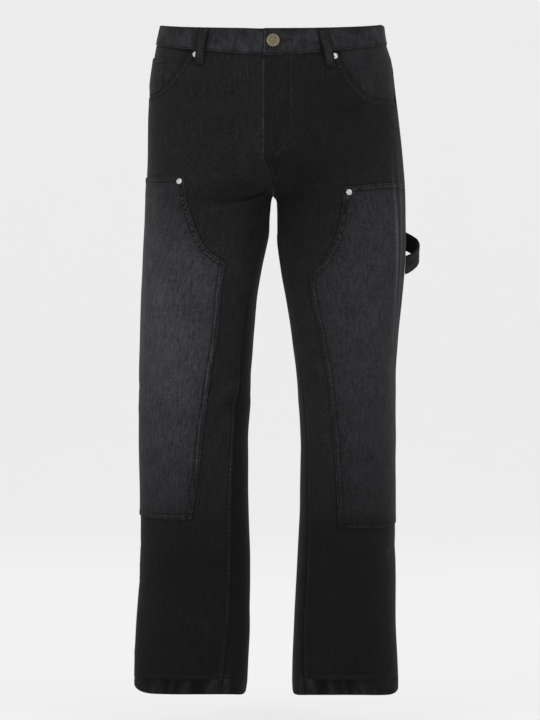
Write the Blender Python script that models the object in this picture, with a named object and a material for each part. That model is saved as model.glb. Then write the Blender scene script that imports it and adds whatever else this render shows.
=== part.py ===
"""Straight-leg work jeans with double knees, standing open as when worn, with nobody in them.

Metres, +Z up, the front faces -Y and +X is the right side of the front view, which is the wearer's left.
The origin is the middle of the waist, at the height of the top edge at the centre front.

The cloth is one surface in two halves. A place on a half is (round, z): round is 0 at the centre front
and, below the fork, at the inseam, 0.5 at the side seam, and 1 at the centre back and the inseam again.
Each cut piece is an outline in that chart, cut into triangles and given a wall. What lies on a panel is
made from the panel's own triangles, moved out. Lengths in the tables and in the chart are millimetres.
"""

import math

import bpy
import numpy as np
from mathutils import Vector
from mathutils.bvhtree import BVHTree
from mathutils.geometry import delaunay_2d_cdt

MM = 0.001
SIDES = {-1: "right", 1: "left"}  # the wearer's sides; the right one is at -X

# Cloth, in millimetres
CLOTH = 1.5
GAP = 0.3
SEAM = GAP / 2  # each piece stops this far from its seam line
PATCH_CLOTH = 1.2
FACING_CLOTH = 1.2
BAND_OUT = 1.2
BAND_IN = -1.8
BAND_CLOTH = BAND_OUT - BAND_IN
FLY_RISE = 1.2
FLY_WIDE = 34.0
FLY_FADE = 12.0
FLY_END = -200.0
HEM_LINE = -1026.0
HEM_STEP = 1.5
HEM_CLOTH = 3.0

# Main heights and the rounding of the body, in millimetres
HEM = -1049.0
FORK = -259.0
RISE_FRONT = 66.0  # height of the curve of the centre front seam above the fork
RISE_BACK = 128.0
RISE_THIGH = 0.92  # the thighs run into the hips over this share of that height
INNER_BAND = 0.26  # round, on each side of the centre seams, where the seam's own curve rules
SADDLE = (0.12, 0.28)  # round, from the centre seams, where the saddle over the fork fades out
ROUNDING = 0.94  # 1 is an ellipse, less is squarer
TOP_FRONT = 0.0
TOP_SIDE = 16.0
TOP_RISE = 2.0
TOP_DIP = {-1: 2.5, 1: 5.0}
TOP_DIP_WIDE = 0.035  # in round
SEAM_FRONT = -43.0
SEAM_SIDE = -16.0
SEAM_BACK = -22.0
SEAM_BEND = 0.6
YOKE_SIDE = -62.0
YOKE_BACK = -104.0
FLY_EDGE = 0.020  # the fly's edge lies this far round on the right half

# Steps of the triangles
ARC = 500.0  # millimetres that stand for one round in the chart
COLUMN_STEP = 1 / 23
HEM_STEPS = 26  # along half a hem
ROW_STEP = 29.0
EDGE_STEP = 22.0
CLEAR = 8.5  # free lattice points stay this far from an edge
SLIVER = 0.4  # square millimetres; thinner triangles lie along a straight edge and are dropped

HIP_COLUMNS = ("z", "right", "left", "front", "back", "middle", "turn_right", "turn_left")
HIPS = (
    (20, 178, 176, 89, 91, 0, -2, 4),
    (-15, 186, 181, 93, 97, 0, -2, 5),
    (-47, 192, 190, 96, 104, 0, -3, 6),
    (-89, 197.5, 195, 100, 114, 1, -4, 8),
    (-137, 200.5, 201, 103, 123, 2, -4, 10),
    (-185, 201, 206.5, 104, 128, 4, -5, 12),
    (-233, 202, 211, 103, 127, 5, -6, 13),
    (-259, 203, 212.5, 101, 122, 6, -6, 14),
)
LEG_COLUMNS = (
    "z", "right_out", "right_in", "left_out", "left_in", "girth", "middle",
    "inseam_right", "inseam_left", "turn_right", "turn_left",
)
LEGS = (
    (-259, 203, 0, 212.5, 0, 640, 6, 0, 0, -6, 14),
    (-262, 203, 1.6, 212.6, 3.2, 638, 6, 3, 1, -6, 14),
    (-266, 203, 2.4, 212.7, 5.6, 636, 6, 6, 2, -6, 14),
    (-281, 203.5, 3.5, 213, 6.4, 630, 5, 12, 4, -6, 14),
    (-329, 205.5, 8.5, 213.3, 7, 606, 3, 24, 8, -8, 14),
    (-377, 207.5, 17.6, 211, 12, 584, 0, 29, 11, -10, 13),
    (-425, 209.5, 25.6, 206.5, 20.8, 562, -2, 33, 13, -12, 12),
    (-489, 211.5, 31, 199, 30.7, 530, -3, 36, 17, -14, 8),
    (-553, 213, 34.7, 195, 38.2, 502, -3, 38, 26, -16, 6),
    (-649, 213, 39.2, 195, 43.5, 482, 0, 43, 31, -20, 5),
    (-745, 211.7, 38.7, 195, 42.7, 468, 5, 47, 34, -24, 5),
    (-841, 213, 36.6, 196.3, 38.6, 461, 9, 49, 37, -26, 2),
    (-937, 218.6, 37.4, 197.8, 34.1, 455, 10, 51, 36, -28, -2),
    (-1033, 223, 40.6, 201, 29.9, 450, 7, 56, 40, -31, -6),
    (-1049, 223.2, 42.5, 201, 30.6, 450, 6, 56, 40, -32, -6),
)

# The hem's lower edge over HEM, by the sine of the place round the leg: 1 in front, -1 behind
HEM_COLUMNS = ("sine", "outer_right", "outer_left", "inner")
HEM_LIFTS = (
    (1.0, -1.8, -1.8, -1.8),
    (0.77, -1.7, -3.7, -3.2),
    (0.59, 0.0, -3.9, -4.6),
    (0.42, 2.7, -2.6, -5.5),
    (0.22, 6.5, 0.2, -4.2),
    (0.0, 10.0, 3.3, 0.5),
    (-0.2, 11.0, 6.5, 2.0),
    (-0.5, 5.0, 4.0, 1.5),
    (-1.0, 0.0, 0.0, 0.0),
)

# The largest folds. run and spread are half lengths along and across the fold, tilt is in degrees from
# level, rising away from the middle of the body, and lift is out of the cloth, or into it below 0.
FOLD_COLUMNS = ("side", "round", "z", "run", "spread", "tilt", "lift")
FOLDS = (
    (-1, 0.150, -268, 48, 13, -14, -4.5),
    (-1, 0.165, -240, 55, 17, -12, 3.0),
    (1, 0.120, -252, 42, 14, -22, -3.0),
    (1, 0.140, -226, 50, 18, -20, 2.5),
    (-1, 0.040, -606, 34, 14, -30, -4.0),
    (-1, 0.050, -574, 36, 15, -22, 3.5),
    (1, 0.430, -350, 120, 15, 90, 2.2),
    (1, 0.470, -350, 110, 14, 90, -1.8),
    (1, 0.440, -826, 34, 14, 18, -2.5),
    (-1, 0.800, -300, 80, 17, 16, -5.0),
    (-1, 0.780, -332, 75, 18, 12, 4.0),
    (1, 0.790, -306, 78, 17, 18, -5.0),
    (1, 0.800, -340, 72, 18, 10, 3.5),
    (-1, 0.740, -560, 70, 17, 14, -5.0),
    (-1, 0.760, -594, 62, 17, 4, 4.0),
    (-1, 0.720, -632, 60, 17, -10, -4.0),
    (1, 0.750, -576, 68, 17, 8, -5.0),
    (1, 0.730, -612, 64, 18, 16, 4.0),
    (1, 0.770, -650, 56, 16, -6, -3.5),
    (-1, 0.700, -930, 55, 18, 10, -3.0),
    (1, 0.720, -950, 58, 18, -12, -3.0),
)

# Outlines, as runs of points (x from the middle, z) that end in corners. Each is seen from its own side,
# and x counts away from the middle. None is the side seam.
MOUTH_COLUMNS = ("x", "z")
MOUTHS = {
    -1: ((128, None), (140.5, -51), (151, -66), (164, -82.5), (177.5, -92), (187.5, -98), (None, -101)),
    1: ((101, None), (107, -52), (114, -66), (122.7, -79), (133, -93), (151, -106), (172, -111), (None, -112)),
}
PATCHES = {
    -1: (
        ((None, -228), (140.5, -234)),
        ((140.5, -234), (137.5, -255), (131, -288), (119.5, -320), (108, -342), (92.5, -356.5), (75.5, -368)),
        ((75.5, -368), (87.5, -473.5), (100, -553.5), (112, -642), (117, -695), (129.5, -772)),
        ((129.5, -772), (164, -772.5), (None, -766)),
    ),
    1: (
        ((None, -241.5), (183, -242), (113.5, -249)),
        ((113.5, -249), (109, -280), (105, -304), (97.5, -331.5), (87, -353.5), (76, -371.5), (59, -387.5)),
        ((59, -387.5), (63, -429), (73, -473.5), (84.5, -536), (91, -591.5), (97.5, -663), (104, -784)),
        ((104, -784), (170, -786), (None, -780)),
    ),
}
BACK_POCKET = (
    ((156, -94), (38, -114)),
    ((38, -114), (44, -236)),
    ((44, -236), (93, -262)),
    ((93, -262), (146, -230)),
    ((146, -230), (156, -94)),
)
COIN_TOP = ((169, -43.5), (None, -37))
COIN_INNER = ((169, -43.5), (176, -88))
COIN_LIFT = 2.0  # its lower edge stops this far above the mouth's edge
TUCK = 12.0  # the facing runs on this far under the front
FACING_DROP = CLOTH + GAP
FACING_FADE = 16.0  # and rises to its seams over this distance

# Hardware and straps, in millimetres
BUTTON = {"x": 0.0, "z": -20.0, "across": 21.0}
BUTTON_PROFILE = ((0.0, 0.30), (0.36, 0.30), (0.36, 0.8), (1.0, 1.0), (1.0, 2.2), (0.93, 2.9), (0.80, 3.1),
                  (0.74, 2.5), (0.0, 2.9))
RIVET_ACROSS = 9.5
SEAT_REACH = 20.0
RIVET_PROFILE = ((0.0, 0.3), (0.9, 0.3), (1.0, 0.8), (0.86, 1.5), (0.55, 1.9), (0.42, 1.6), (0.0, 2.2))
POCKET_RIVETS = {-1: (122.0, -40.0), 1: (97.0, -43.5)}
PATCH_RIVETS = {-1: (146.5, -240.8), 1: (119.0, -257.8)}
LOOP_WIDE = 15.0
LOOP_CLOTH = 1.8
LOOP_STAND = 3.2
LOOP_COLUMNS = ("name", "side", "back", "x_top", "x_low", "z_low")
LOOPS = (
    ("belt_loop_front_right", -1, False, 107.8, 115.8, -55.5),
    ("belt_loop_front_left", 1, False, 76.4, 90.5, -61.0),
    ("belt_loop_back_right", -1, True, 104.0, 106.0, -38.0),
    ("belt_loop_back_left", 1, True, 104.0, 106.0, -38.0),
    ("belt_loop_centre_back", 1, True, 0.0, 0.0, -40.0),
)
LOOP_STOPS = ((0.0, 0.0), (0.07, 0.12), (0.17, 1.0), (0.38, 1.0), (0.6, 1.0), (0.78, 0.9), (0.9, 0.1), (1.0, 0.0))
HAMMER_WIDE = 29.0
HAMMER_CLOTH = 2.2
HAMMER_COLUMNS = ("round", "stand", "z")
HAMMER_PATH = (
    (0.508, 0.0, -369), (0.514, 3.2, -367.5), (0.522, 10, -362.5), (0.532, 16.5, -356), (0.541, 19.6, -351),
    (0.552, 21, -346.5), (0.563, 21.2, -341.5), (0.578, 18.5, -335.5), (0.596, 13.5, -329), (0.616, 8, -322),
    (0.634, 3, -317), (0.652, 0.0, -314),
)


def clear_scene():
    for thing in list(bpy.data.objects):
        bpy.data.objects.remove(thing, do_unlink=True)


def material(name, colour, roughness, metallic=0.0):
    made = bpy.data.materials.new(name)
    made.use_nodes = True
    shader = made.node_tree.nodes["Principled BSDF"]
    shader.inputs["Base Color"].default_value = (*colour, 1.0)
    shader.inputs["Roughness"].default_value = roughness
    shader.inputs["Metallic"].default_value = metallic
    made.diffuse_color = (*colour, 1.0)
    return made


# Curves and the body's surface


def curve(heights, values):
    """A smooth curve through the rows of a table, with no overshoot. The heights run downwards."""
    h = np.array(heights[::-1], float)
    v = np.array(values[::-1], float)
    step = np.diff(h)
    slope = np.diff(v) / step
    tangent = np.zeros_like(v)
    tangent[0], tangent[-1] = slope[0], slope[-1]
    for i in range(1, len(v) - 1):
        if slope[i - 1] * slope[i] > 0:
            near = 2 * step[i] + step[i - 1]
            far = step[i] + 2 * step[i - 1]
            tangent[i] = (near + far) / (near / slope[i - 1] + far / slope[i])

    def at(z):
        z = np.clip(z, h[0], h[-1])
        i = np.clip(np.searchsorted(h, z) - 1, 0, len(step) - 1)
        t = (z - h[i]) / step[i]
        start = (2 * t**3 - 3 * t**2 + 1) * v[i] + (t**3 - 2 * t**2 + t) * step[i] * tangent[i]
        end = (3 * t**2 - 2 * t**3) * v[i + 1] + (t**3 - t**2) * step[i] * tangent[i + 1]
        return start + end

    return at


def column(table, names, name):
    i = names.index(name)
    return curve([row[0] for row in table], [row[i] for row in table])


def ellipse_girth(a, b):
    return math.pi * (3 * (a + b) - math.sqrt((3 * a + b) * (a + 3 * b)))


def half_depth(half_width, girth):
    """The other half axis of an ellipse of this girth."""
    low, high = 10.0, 200.0
    for _ in range(40):
        b = (low + high) / 2
        if ellipse_girth(half_width, b) > girth:
            high = b
        else:
            low = b
    return low


HIP = {name: column(HIPS, HIP_COLUMNS, name) for name in HIP_COLUMNS[1:]}
LEG = {name: column(LEGS, LEG_COLUMNS, name) for name in LEG_COLUMNS[1:]}
HEM_LIFT = {name: column(HEM_LIFTS, HEM_COLUMNS, name) for name in HEM_COLUMNS[1:]}
DEPTH = {}
for SIDE, SIDE_NAME in SIDES.items():
    OUT, IN, GIRTH = (LEG_COLUMNS.index(n) for n in (SIDE_NAME + "_out", SIDE_NAME + "_in", "girth"))
    DEPTH[SIDE] = curve([r[0] for r in LEGS], [half_depth((r[OUT] - r[IN]) / 2, r[GIRTH]) for r in LEGS])


def rounded(v):
    return np.sign(v) * np.abs(v) ** ROUNDING


def ramp(t):
    t = np.clip(t, 0, 1)
    return t * t * (3 - 2 * t)


def bulge(reach):
    """The depth of a section, as a share, where it reaches this share of its half width."""
    return np.sqrt(1 - reach ** (2 / ROUNDING)) ** ROUNDING


def fold_lift(side, around, z):
    """How far the folds move the cloth out. Folds die out at the centre seams by the fork."""
    total = np.zeros(np.broadcast(around, z).shape)
    for fold_side, fold_round, fold_z, run, spread, tilt, lift in FOLDS:
        if fold_side != side:
            continue
        along = around - fold_round
        along = np.where(z < FORK, (along + 0.5) % 1.0 - 0.5, along) * ARC
        up = z - fold_z
        turn = math.radians(tilt)
        a = along * math.cos(turn) + up * math.sin(turn)
        b = up * math.cos(turn) - along * math.sin(turn)
        total = total + lift * np.exp(-((a / run) ** 2) - (b / spread) ** 2)
    edge = np.minimum(around, 1 - around)
    calm = np.where(z > FORK - 60, ramp(edge / 0.06), 1.0)
    return total * calm


def round_leg(start, seam, around):
    """The angle round a leg's section, from the inseam at its start past the side seam."""
    return np.where(
        around <= 0.5,
        start + (seam - start) * around / 0.5,
        seam + (2 * math.pi + start - seam) * (around - 0.5) / 0.5,
    )


def half_surface(side, around, z):
    """Points of the outer face of the cloth of one half."""
    name = SIDES[side]
    low = np.minimum(z, FORK)
    high = np.maximum(z, FORK)
    out = np.where(z > FORK, HIP[name](high), LEG[name + "_out"](low))
    inner = LEG[name + "_in"](low)
    turn = np.radians(np.where(z > FORK, HIP["turn_" + name](high), LEG["turn_" + name](low)))
    start = np.radians(LEG["inseam_" + name](low))
    seam = math.pi - turn
    leg_angle = round_leg(start, seam, around)
    leg_x = (out + inner) / 2 - (out - inner) / 2 * rounded(np.cos(leg_angle))
    leg_y = LEG["middle"](low) - DEPTH[side](low) * rounded(np.sin(leg_angle))
    part = np.where(around <= 0.5, around / 0.5, (around - 0.5) / 0.5)
    hip_angle = np.where(
        around <= 0.5, math.pi / 2 + (seam - math.pi / 2) * part, seam + (1.5 * math.pi - seam) * part
    )
    middle = HIP["middle"](high)
    sine = rounded(np.sin(hip_angle))
    hip_x = -out * rounded(np.cos(hip_angle))
    hip_y = middle - np.where(sine > 0, HIP["front"](high) + middle, HIP["back"](high) - middle) * sine

    rise = RISE_FRONT + (RISE_BACK - RISE_FRONT) * around
    up = np.clip((z - FORK) / rise, 0, 1)
    seam_share = up * (2 - up)
    hips = ramp(up / RISE_THIGH)
    edge = np.minimum(around, 1 - around)
    x = leg_x + (hip_x - leg_x) * hips
    y = leg_y + (hip_y - leg_y) * hips

    # Over the fork the depths of thigh and hips are mixed as squares, which makes a saddle
    share = seam_share + (hips - seam_share) * ramp(edge / INNER_BAND)
    thigh_reach = np.clip(np.abs(x - (out + inner) / 2) / ((out - inner) / 2), 0, 1)
    thigh_depth = DEPTH[side](low) * bulge(thigh_reach)
    hip_depth = np.where(around < 0.5, HIP["front"](high) + middle, HIP["back"](high) - middle)
    hip_depth = hip_depth * bulge(np.clip(x / out, 0, 1))
    depth = np.sqrt(thigh_depth**2 * (1 - share) + hip_depth**2 * share)
    saddle_y = middle - np.where(around < 0.5, depth, -depth)
    near = np.where(z > FORK, 1 - ramp((edge - SADDLE[0]) / (SADDLE[1] - SADDLE[0])), 0.0)
    y = y + (saddle_y - y) * near
    centre_x = (out + inner) / 2 * (1 - hips)
    away = np.hypot(x - centre_x, y - middle) + 1e-9
    lift = fold_lift(side, around, z)
    x = x + lift * (x - centre_x) / away
    y = y + lift * (y - middle) / away
    return np.stack([side * x, y, z + 0 * x], -1)


def place(side, around, z):
    """Points of the cloth; below 0 and above 1 the centre seams and the inseam are crossed."""
    around, z = (np.array(v, float) for v in np.broadcast_arrays(around, z))
    past = (around < 0) | (around > 1)
    below = z < FORK
    folded = np.where(around < 0, -around, np.where(around > 1, 2 - around, around))
    own = np.where(past & below, around % 1.0, folded)
    points = half_surface(side, own, z)
    swap = past & ~below
    if swap.any():
        points = np.where(swap[..., None], half_surface(-side, own, z), points)
    return points


def outward(side, around, z):
    """Unit normals of the cloth, out of the body."""
    around, z = (np.array(v, float) for v in np.broadcast_arrays(around, z))
    step, drop = 0.008, 3.0
    above = z >= FORK
    top = np.where(above, z + drop, np.minimum(z + drop, FORK - 0.01))
    low = np.where(above, np.maximum(z - drop, FORK), z - drop)
    across = place(side, around + step, z) - place(side, around - step, z)
    up = place(side, around, top) - place(side, around, low)
    normal = np.cross(across, up) * side
    seam = above & ((np.abs(around) < 1e-6) | (np.abs(around - 1) < 1e-6))
    if seam.any():
        rise = place(side, around, z + 1.0) - place(side, around, z)
        front = np.where(around < 0.5, 1.0, -1.0)
        level = np.stack([0 * z, -rise[..., 2] * front, rise[..., 1] * front], -1)
        normal = np.where(seam[..., None], level, normal)
    return normal / np.linalg.norm(normal, axis=-1, keepdims=True)


# Lines of the chart


def waist_top(side, around):
    """Height of the waistband's top edge, which dips a little at the side seams."""
    sine = np.sin(math.pi / 2 + math.pi * np.abs(around))
    dip = TOP_DIP[side] * np.exp(-(((np.abs(around) - 0.5) / TOP_DIP_WIDE) ** 2))
    return TOP_FRONT + (TOP_SIDE - TOP_FRONT) * (1 - np.maximum(sine, 0)) + TOP_RISE * np.maximum(-sine, 0) - dip


def hem_edge(side, around):
    """Height of the hem's lower edge, which hangs lower in front and lifts at the outer side."""
    start = math.radians(float(LEG["inseam_" + SIDES[side]](HEM)))
    seam = math.pi - math.radians(float(LEG["turn_" + SIDES[side]](HEM)))
    angle = round_leg(start, seam, around)
    outer = (1 - np.cos(angle)) / 2
    sine = np.sin(angle)
    return HEM + HEM_LIFT["outer_" + SIDES[side]](sine) * outer + HEM_LIFT["inner"](sine) * (1 - outer)


def waist_seam(side, around):
    sine = np.sin(math.pi / 2 + math.pi * np.abs(around))
    front = SEAM_FRONT + (SEAM_SIDE - SEAM_FRONT) * (1 - np.maximum(sine, 0)) ** SEAM_BEND
    return front + (SEAM_BACK - SEAM_SIDE) * np.maximum(-sine, 0)


def yoke_seam(around):
    return YOKE_SIDE + (YOKE_BACK - YOKE_SIDE) * np.clip((around - 0.5) / 0.5, 0, 1)


def fly_line(z):
    """The edge of the left front, counted as round on the left half, so it is below 0."""
    return -FLY_EDGE * ramp((z - FORK) / (FLY_END - FORK))


def round_at(side, x, z, back=False):
    """round where the front, or the back, is x from the middle at this height."""
    low, high = (0.5, 1.0) if back else (0.0, 0.5)
    for _ in range(40):
        middle = (low + high) / 2
        far = side * place(side, middle, z)[0] < x
        if far != back:
            low = middle
        else:
            high = middle
    return (low + high) / 2


def chart_point(side, x, z, back=False):
    if x is None:
        return (0.5, float(z))
    if z is None:
        around = round_at(side, x, SEAM_SIDE, back)
        for _ in range(4):
            around = round_at(side, x, float(waist_seam(side, around)), back)
        return (around, float(waist_seam(side, around)))
    return (round_at(side, x, z, back), float(z))


def smooth_run(points, step):
    """Points along a smooth line through these chart points, about step apart."""
    flat = [Vector((c * ARC, z)) for c, z in points]
    if len(flat) == 2:
        count = max(1, round((flat[1] - flat[0]).length / step))
        made = [flat[0].lerp(flat[1], k / count) for k in range(count + 1)]
        return [(p.x / ARC, p.y) for p in made]
    ends = [flat[0] * 2 - flat[1]] + flat + [flat[-1] * 2 - flat[-2]]
    made = [flat[0]]
    for before, a, b, after in zip(ends, ends[1:], ends[2:], ends[3:]):
        count = max(1, round((b - a).length / step))
        for k in range(1, count + 1):
            t = k / count
            made.append(
                0.5 * (2 * a + (b - before) * t + (2 * before - 5 * a + 4 * b - after) * t * t
                       + (3 * a - before - 3 * b + after) * t**3)
            )
    return [(p.x / ARC, p.y) for p in made]


def path(side, run, step=EDGE_STEP, back=False):
    if len(run) == 2 and None not in (*run[0], *run[1]):
        count = max(1, round(math.dist(*run) / step))
        run = [tuple(a + (b - a) * k / count for a, b in zip(*run)) for k in range(count + 1)]
        return [chart_point(side, x, z, back) for x, z in run]
    return smooth_run([chart_point(side, x, z, back) for x, z in run], step)


def rows_between(top, low):
    """Heights of the lattice between two levels, both ends kept."""
    made = [z for z in ROWS if low + 0.3 * ROW_STEP < z < top - 0.3 * ROW_STEP or
            (z in FORK_ROWS and low + 1 < z < top - 1) or (z in HEM_ROWS and low + 1 < z < top - 1)]
    return [top, *made, low]


def fork_rows():
    up = [FORK + RISE_FRONT * (1 - math.cos(math.radians(a))) for a in (72, 56, 40, 25, 12)]
    return [*up, FORK, FORK - 3, FORK - 9, FORK - 22]


FORK_ROWS = fork_rows()
HEM_ROWS = [HEM_LINE, HEM_LINE - HEM_STEP]
ROWS = []
LEVEL = -12.0
while LEVEL > HEM:
    ROWS.append(LEVEL)
    LEVEL -= ROW_STEP
ROWS = [z for z in ROWS if min(abs(z - h) for h in HEM_ROWS) > 0.4 * ROW_STEP]
ROWS = sorted(ROWS + FORK_ROWS + HEM_ROWS, reverse=True)
COLUMNS = [j * COLUMN_STEP for j in range(-2, round(1 / COLUMN_STEP) + 1)]


# From the chart to solids


def join_runs(*runs):
    """One closed outline from runs that follow each other."""
    made = []
    for run in runs:
        for point in run:
            if not made or math.dist((made[-1][0] * ARC, made[-1][1]), (point[0] * ARC, point[1])) > 0.05:
                made.append(point)
    if math.dist((made[0][0] * ARC, made[0][1]), (made[-1][0] * ARC, made[-1][1])) <= 0.05:
        made.pop()
    return made


def within(outline, c, z):
    inside = False
    for (c1, z1), (c2, z2) in zip(outline, outline[1:] + outline[:1]):
        if (z1 > z) != (z2 > z) and c < c1 + (c2 - c1) * (z - z1) / (z2 - z1):
            inside = not inside
    return inside


def segment_distance(p, a, b):
    """From a chart point to a segment, in millimetres."""
    px, py, ax, ay, bx, by = p[0] * ARC, p[1], a[0] * ARC, a[1], b[0] * ARC, b[1]
    dx, dy = bx - ax, by - ay
    t = max(0.0, min(1.0, ((px - ax) * dx + (py - ay) * dy) / (dx * dx + dy * dy)))
    return math.hypot(px - ax - t * dx, py - ay - t * dy)


def line_distance(p, line):
    return min(segment_distance(p, a, b) for a, b in zip(line, line[1:]))


def triangulate(outline, lines=()):
    """Chart points and triangles of an outline, with lines as edges and lattice points between them."""
    points, edges, seen = [], [], {}

    def index(point):
        key = (round(point[0] * ARC, 2), round(point[1], 2))
        if key not in seen:
            seen[key] = len(points)
            points.append(point)
        return seen[key]

    closed = outline + outline[:1]
    for line in (closed, *lines):
        marks = [index(p) for p in line]
        edges += [(a, b) for a, b in zip(marks, marks[1:]) if a != b]
    segments = [(points[a], points[b]) for a, b in edges]
    for z in ROWS:
        for c in COLUMNS:
            if z in FORK_ROWS and 0.14 < c < 0.86 and z != FORK:
                continue
            near = 0.8 * min(abs(z - f) for f in FORK_ROWS if f != z) if z in FORK_ROWS else CLEAR
            near = min(near, 0.9 * HEM_STEP) if z in HEM_ROWS else min(near, CLEAR)
            if within(outline, c, z) and min(segment_distance((c, z), a, b) for a, b in segments) > near:
                points.append((c, z))
    flat = [Vector((c * ARC, z)) for c, z in points]
    verts, _, faces, *_ = delaunay_2d_cdt(flat, edges, [], 0, 0.01)
    chart = [(v.x / ARC, v.y) for v in verts]
    wide = [face for face in faces if triangle_area(*(verts[i] for i in face)) > SLIVER]
    return part_of((chart, [tuple(face) for face in wide]), outline)


def triangle_area(a, b, c):
    return abs((b - a).cross(c - a)) / 2


def part_of(sheet, outline):
    chart, faces = sheet
    kept = []
    for face in faces:
        c = sum(chart[i][0] for i in face) / 3
        z = sum(chart[i][1] for i in face) / 3
        if within(outline, c, z):
            kept.append(face)
    return chart, kept


def add_object(name, points, faces, look, smooth=35.0):
    mesh = bpy.data.meshes.new(name)
    mesh.from_pydata([tuple(p) for p in points], [], faces)
    mesh.materials.append(look)
    mesh.shade_smooth()
    mesh.set_sharp_from_angle(angle=math.radians(smooth))
    made = bpy.data.objects.new(name, mesh)
    bpy.context.scene.collection.objects.link(made)
    return made


def signed_volume(points, faces):
    total = 0.0
    for face in faces:
        for k in range(1, len(face) - 1):
            total += np.dot(points[face[0]], np.cross(points[face[k]], points[face[k + 1]]))
    return total


def cloth(name, side, sheet, outer, inner, look, trim=SEAM):
    """A closed wall over a set of chart triangles. outer and inner are heights over the cloth's face,
    as numbers or functions of the chart, and trim is what the edges give up at the seams."""
    chart, faces = sheet
    used = sorted({i for face in faces for i in face})
    number = {i: k for k, i in enumerate(used)}
    faces = [tuple(number[i] for i in face) for face in faces]
    around = np.array([chart[i][0] for i in used])
    z = np.array([chart[i][1] for i in used])
    base = place(side, around, z)
    normal = outward(side, around, z)
    turned = []
    for a, b, c in faces:
        area = (around[b] - around[a]) * (z[c] - z[a]) - (around[c] - around[a]) * (z[b] - z[a])
        turned.append((a, b, c) if area * side > 0 else (a, c, b))
    edges = {(f[k], f[(k + 1) % 3]) for f in turned for k in range(3)}
    border = [(a, b) for a, b in edges if (b, a) not in edges]
    inward = {}
    for a, b in border:
        for i in (a, b):
            pull = np.cross(normal[i], base[b] - base[a])
            inward.setdefault(i, []).append(pull / np.linalg.norm(pull))
    for i, pulls in inward.items():
        total = sum(pulls)
        length = np.linalg.norm(total)
        if length > 0.2:
            base[i] = base[i] + total / length * trim * min(len(pulls) / length, 1.8)

    def heights(rule):
        if callable(rule):
            return np.array([rule(c, v) for c, v in zip(around, z)])[:, None]
        return np.full((len(used), 1), float(rule))

    top = base + normal * heights(outer)
    low = base + normal * heights(inner)
    count = len(used)
    solid = list(turned)
    solid += [(a + count, c + count, b + count) for a, b, c in turned]
    for a, b in sorted(border):
        if (round(z[a], 2), side * around[a]) < (round(z[b], 2), side * around[b]):
            solid += [(b, a, b + count), (a, a + count, b + count)]
        else:
            solid += [(b, a, a + count), (b, a + count, b + count)]
    return add_object(name, np.concatenate([top, low]) * MM, solid, look)


def strip(name, rows, look, smooth=35.0):
    """A closed body through cross-sections that all have the same number of corners."""
    count = len(rows[0])
    points = [p for row in rows for p in row]
    faces = [tuple(range(count)), tuple(reversed(range(len(points) - count, len(points))))]
    for i in range(len(rows) - 1):
        for k in range(count):
            a, b = i * count + k, i * count + (k + 1) % count
            faces.append((a, a + count, b + count, b))
    if signed_volume(points, faces) < 0:
        faces = [tuple(reversed(face)) for face in faces]
    return add_object(name, points, faces, look, smooth)


def turned_piece(name, seat, normal, across, profile, sides, look):
    """A round piece on a seat, from a profile of (share of the radius, height)."""
    normal = Vector(normal).normalized()
    right = normal.orthogonal().normalized()
    up = normal.cross(right)
    radius = across / 2
    points, faces, rings = [], [], []
    for share, height in profile:
        centre = Vector(seat) + normal * height
        if share == 0:
            rings.append([len(points)])
            points.append(centre * MM)
            continue
        rings.append(list(range(len(points), len(points) + sides)))
        for k in range(sides):
            angle = 2 * math.pi * k / sides
            points.append((centre + (right * math.cos(angle) + up * math.sin(angle)) * radius * share) * MM)
    for low, high in zip(rings, rings[1:]):
        for k in range(sides):
            n = (k + 1) % sides
            if len(low) == 1:
                faces.append((low[0], high[n], high[k]))
            elif len(high) == 1:
                faces.append((low[k], low[n], high[0]))
            else:
                faces.append((low[k], low[n], high[n], high[k]))
    solid = [np.array(p) for p in points]
    if signed_volume(solid, faces) < 0:
        faces = [tuple(reversed(face)) for face in faces]
    return add_object(name, points, faces, look)


# Outlines of the cut pieces


def seam_run(around, top, low):
    """A run down a seam that stays at one place round the body."""
    return [(around, z) for z in rows_between(top, low)]


def hem_run(side, start, end):
    return [(float(c), float(hem_edge(side, c))) for c in np.linspace(start, end, HEM_STEPS + 1)]


def level_run(rule, start, end):
    """A run along a seam whose height is a rule of the place round the body."""
    low, high = min(start, end), max(start, end)
    inner = [c for c in COLUMNS if low + 0.3 * COLUMN_STEP < c < high - 0.3 * COLUMN_STEP]
    around = [low, *inner, high]
    if start > end:
        around.reverse()
    return [(c, float(rule(c))) for c in around]


def mouth_run(side):
    return path(side, MOUTHS[side], 16.0)


def tuck_run(side):
    """The facing's lower edge, under the front."""
    run = mouth_run(side)
    made = []
    for before, point, after in zip(run[:1] + run, run, run[1:] + run[-1:]):
        along = Vector(((after[0] - before[0]) * ARC, after[1] - before[1])).normalized()
        made.append((point[0] + along.y * TUCK / ARC, point[1] - along.x * TUCK))
    made[0] = (made[0][0], float(waist_seam(side, made[0][0])))
    made[-1] = (0.5, made[-1][1])
    return made


def front_outline(side):
    waist = lambda c: waist_seam(side, c)
    mouth = mouth_run(side)
    top, low = mouth[0], mouth[-1]
    centre = rows_between(float(waist(FLY_EDGE)), FORK)
    if side == 1:
        fly = [(float(fly_line(z)), z) for z in centre]
    else:
        fly = [(-float(fly_line(z)), z) for z in centre]
    inseam = seam_run(0.0, FORK, float(hem_edge(side, 0.0)))
    hem = hem_run(side, 0.0, 0.5)
    outseam = seam_run(0.5, low[1], float(hem_edge(side, 0.5)))[::-1]
    waist_line = level_run(waist, top[0], fly[0][0])
    return join_runs(waist_line, fly, inseam, hem, outseam, mouth[::-1])


def patch_outline(side):
    runs = [path(side, run, 18.0) for run in PATCHES[side]]
    top, low = runs[0][0][1], runs[-1][-1][1]
    return join_runs(*runs, seam_run(0.5, top, low)[::-1])


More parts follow.
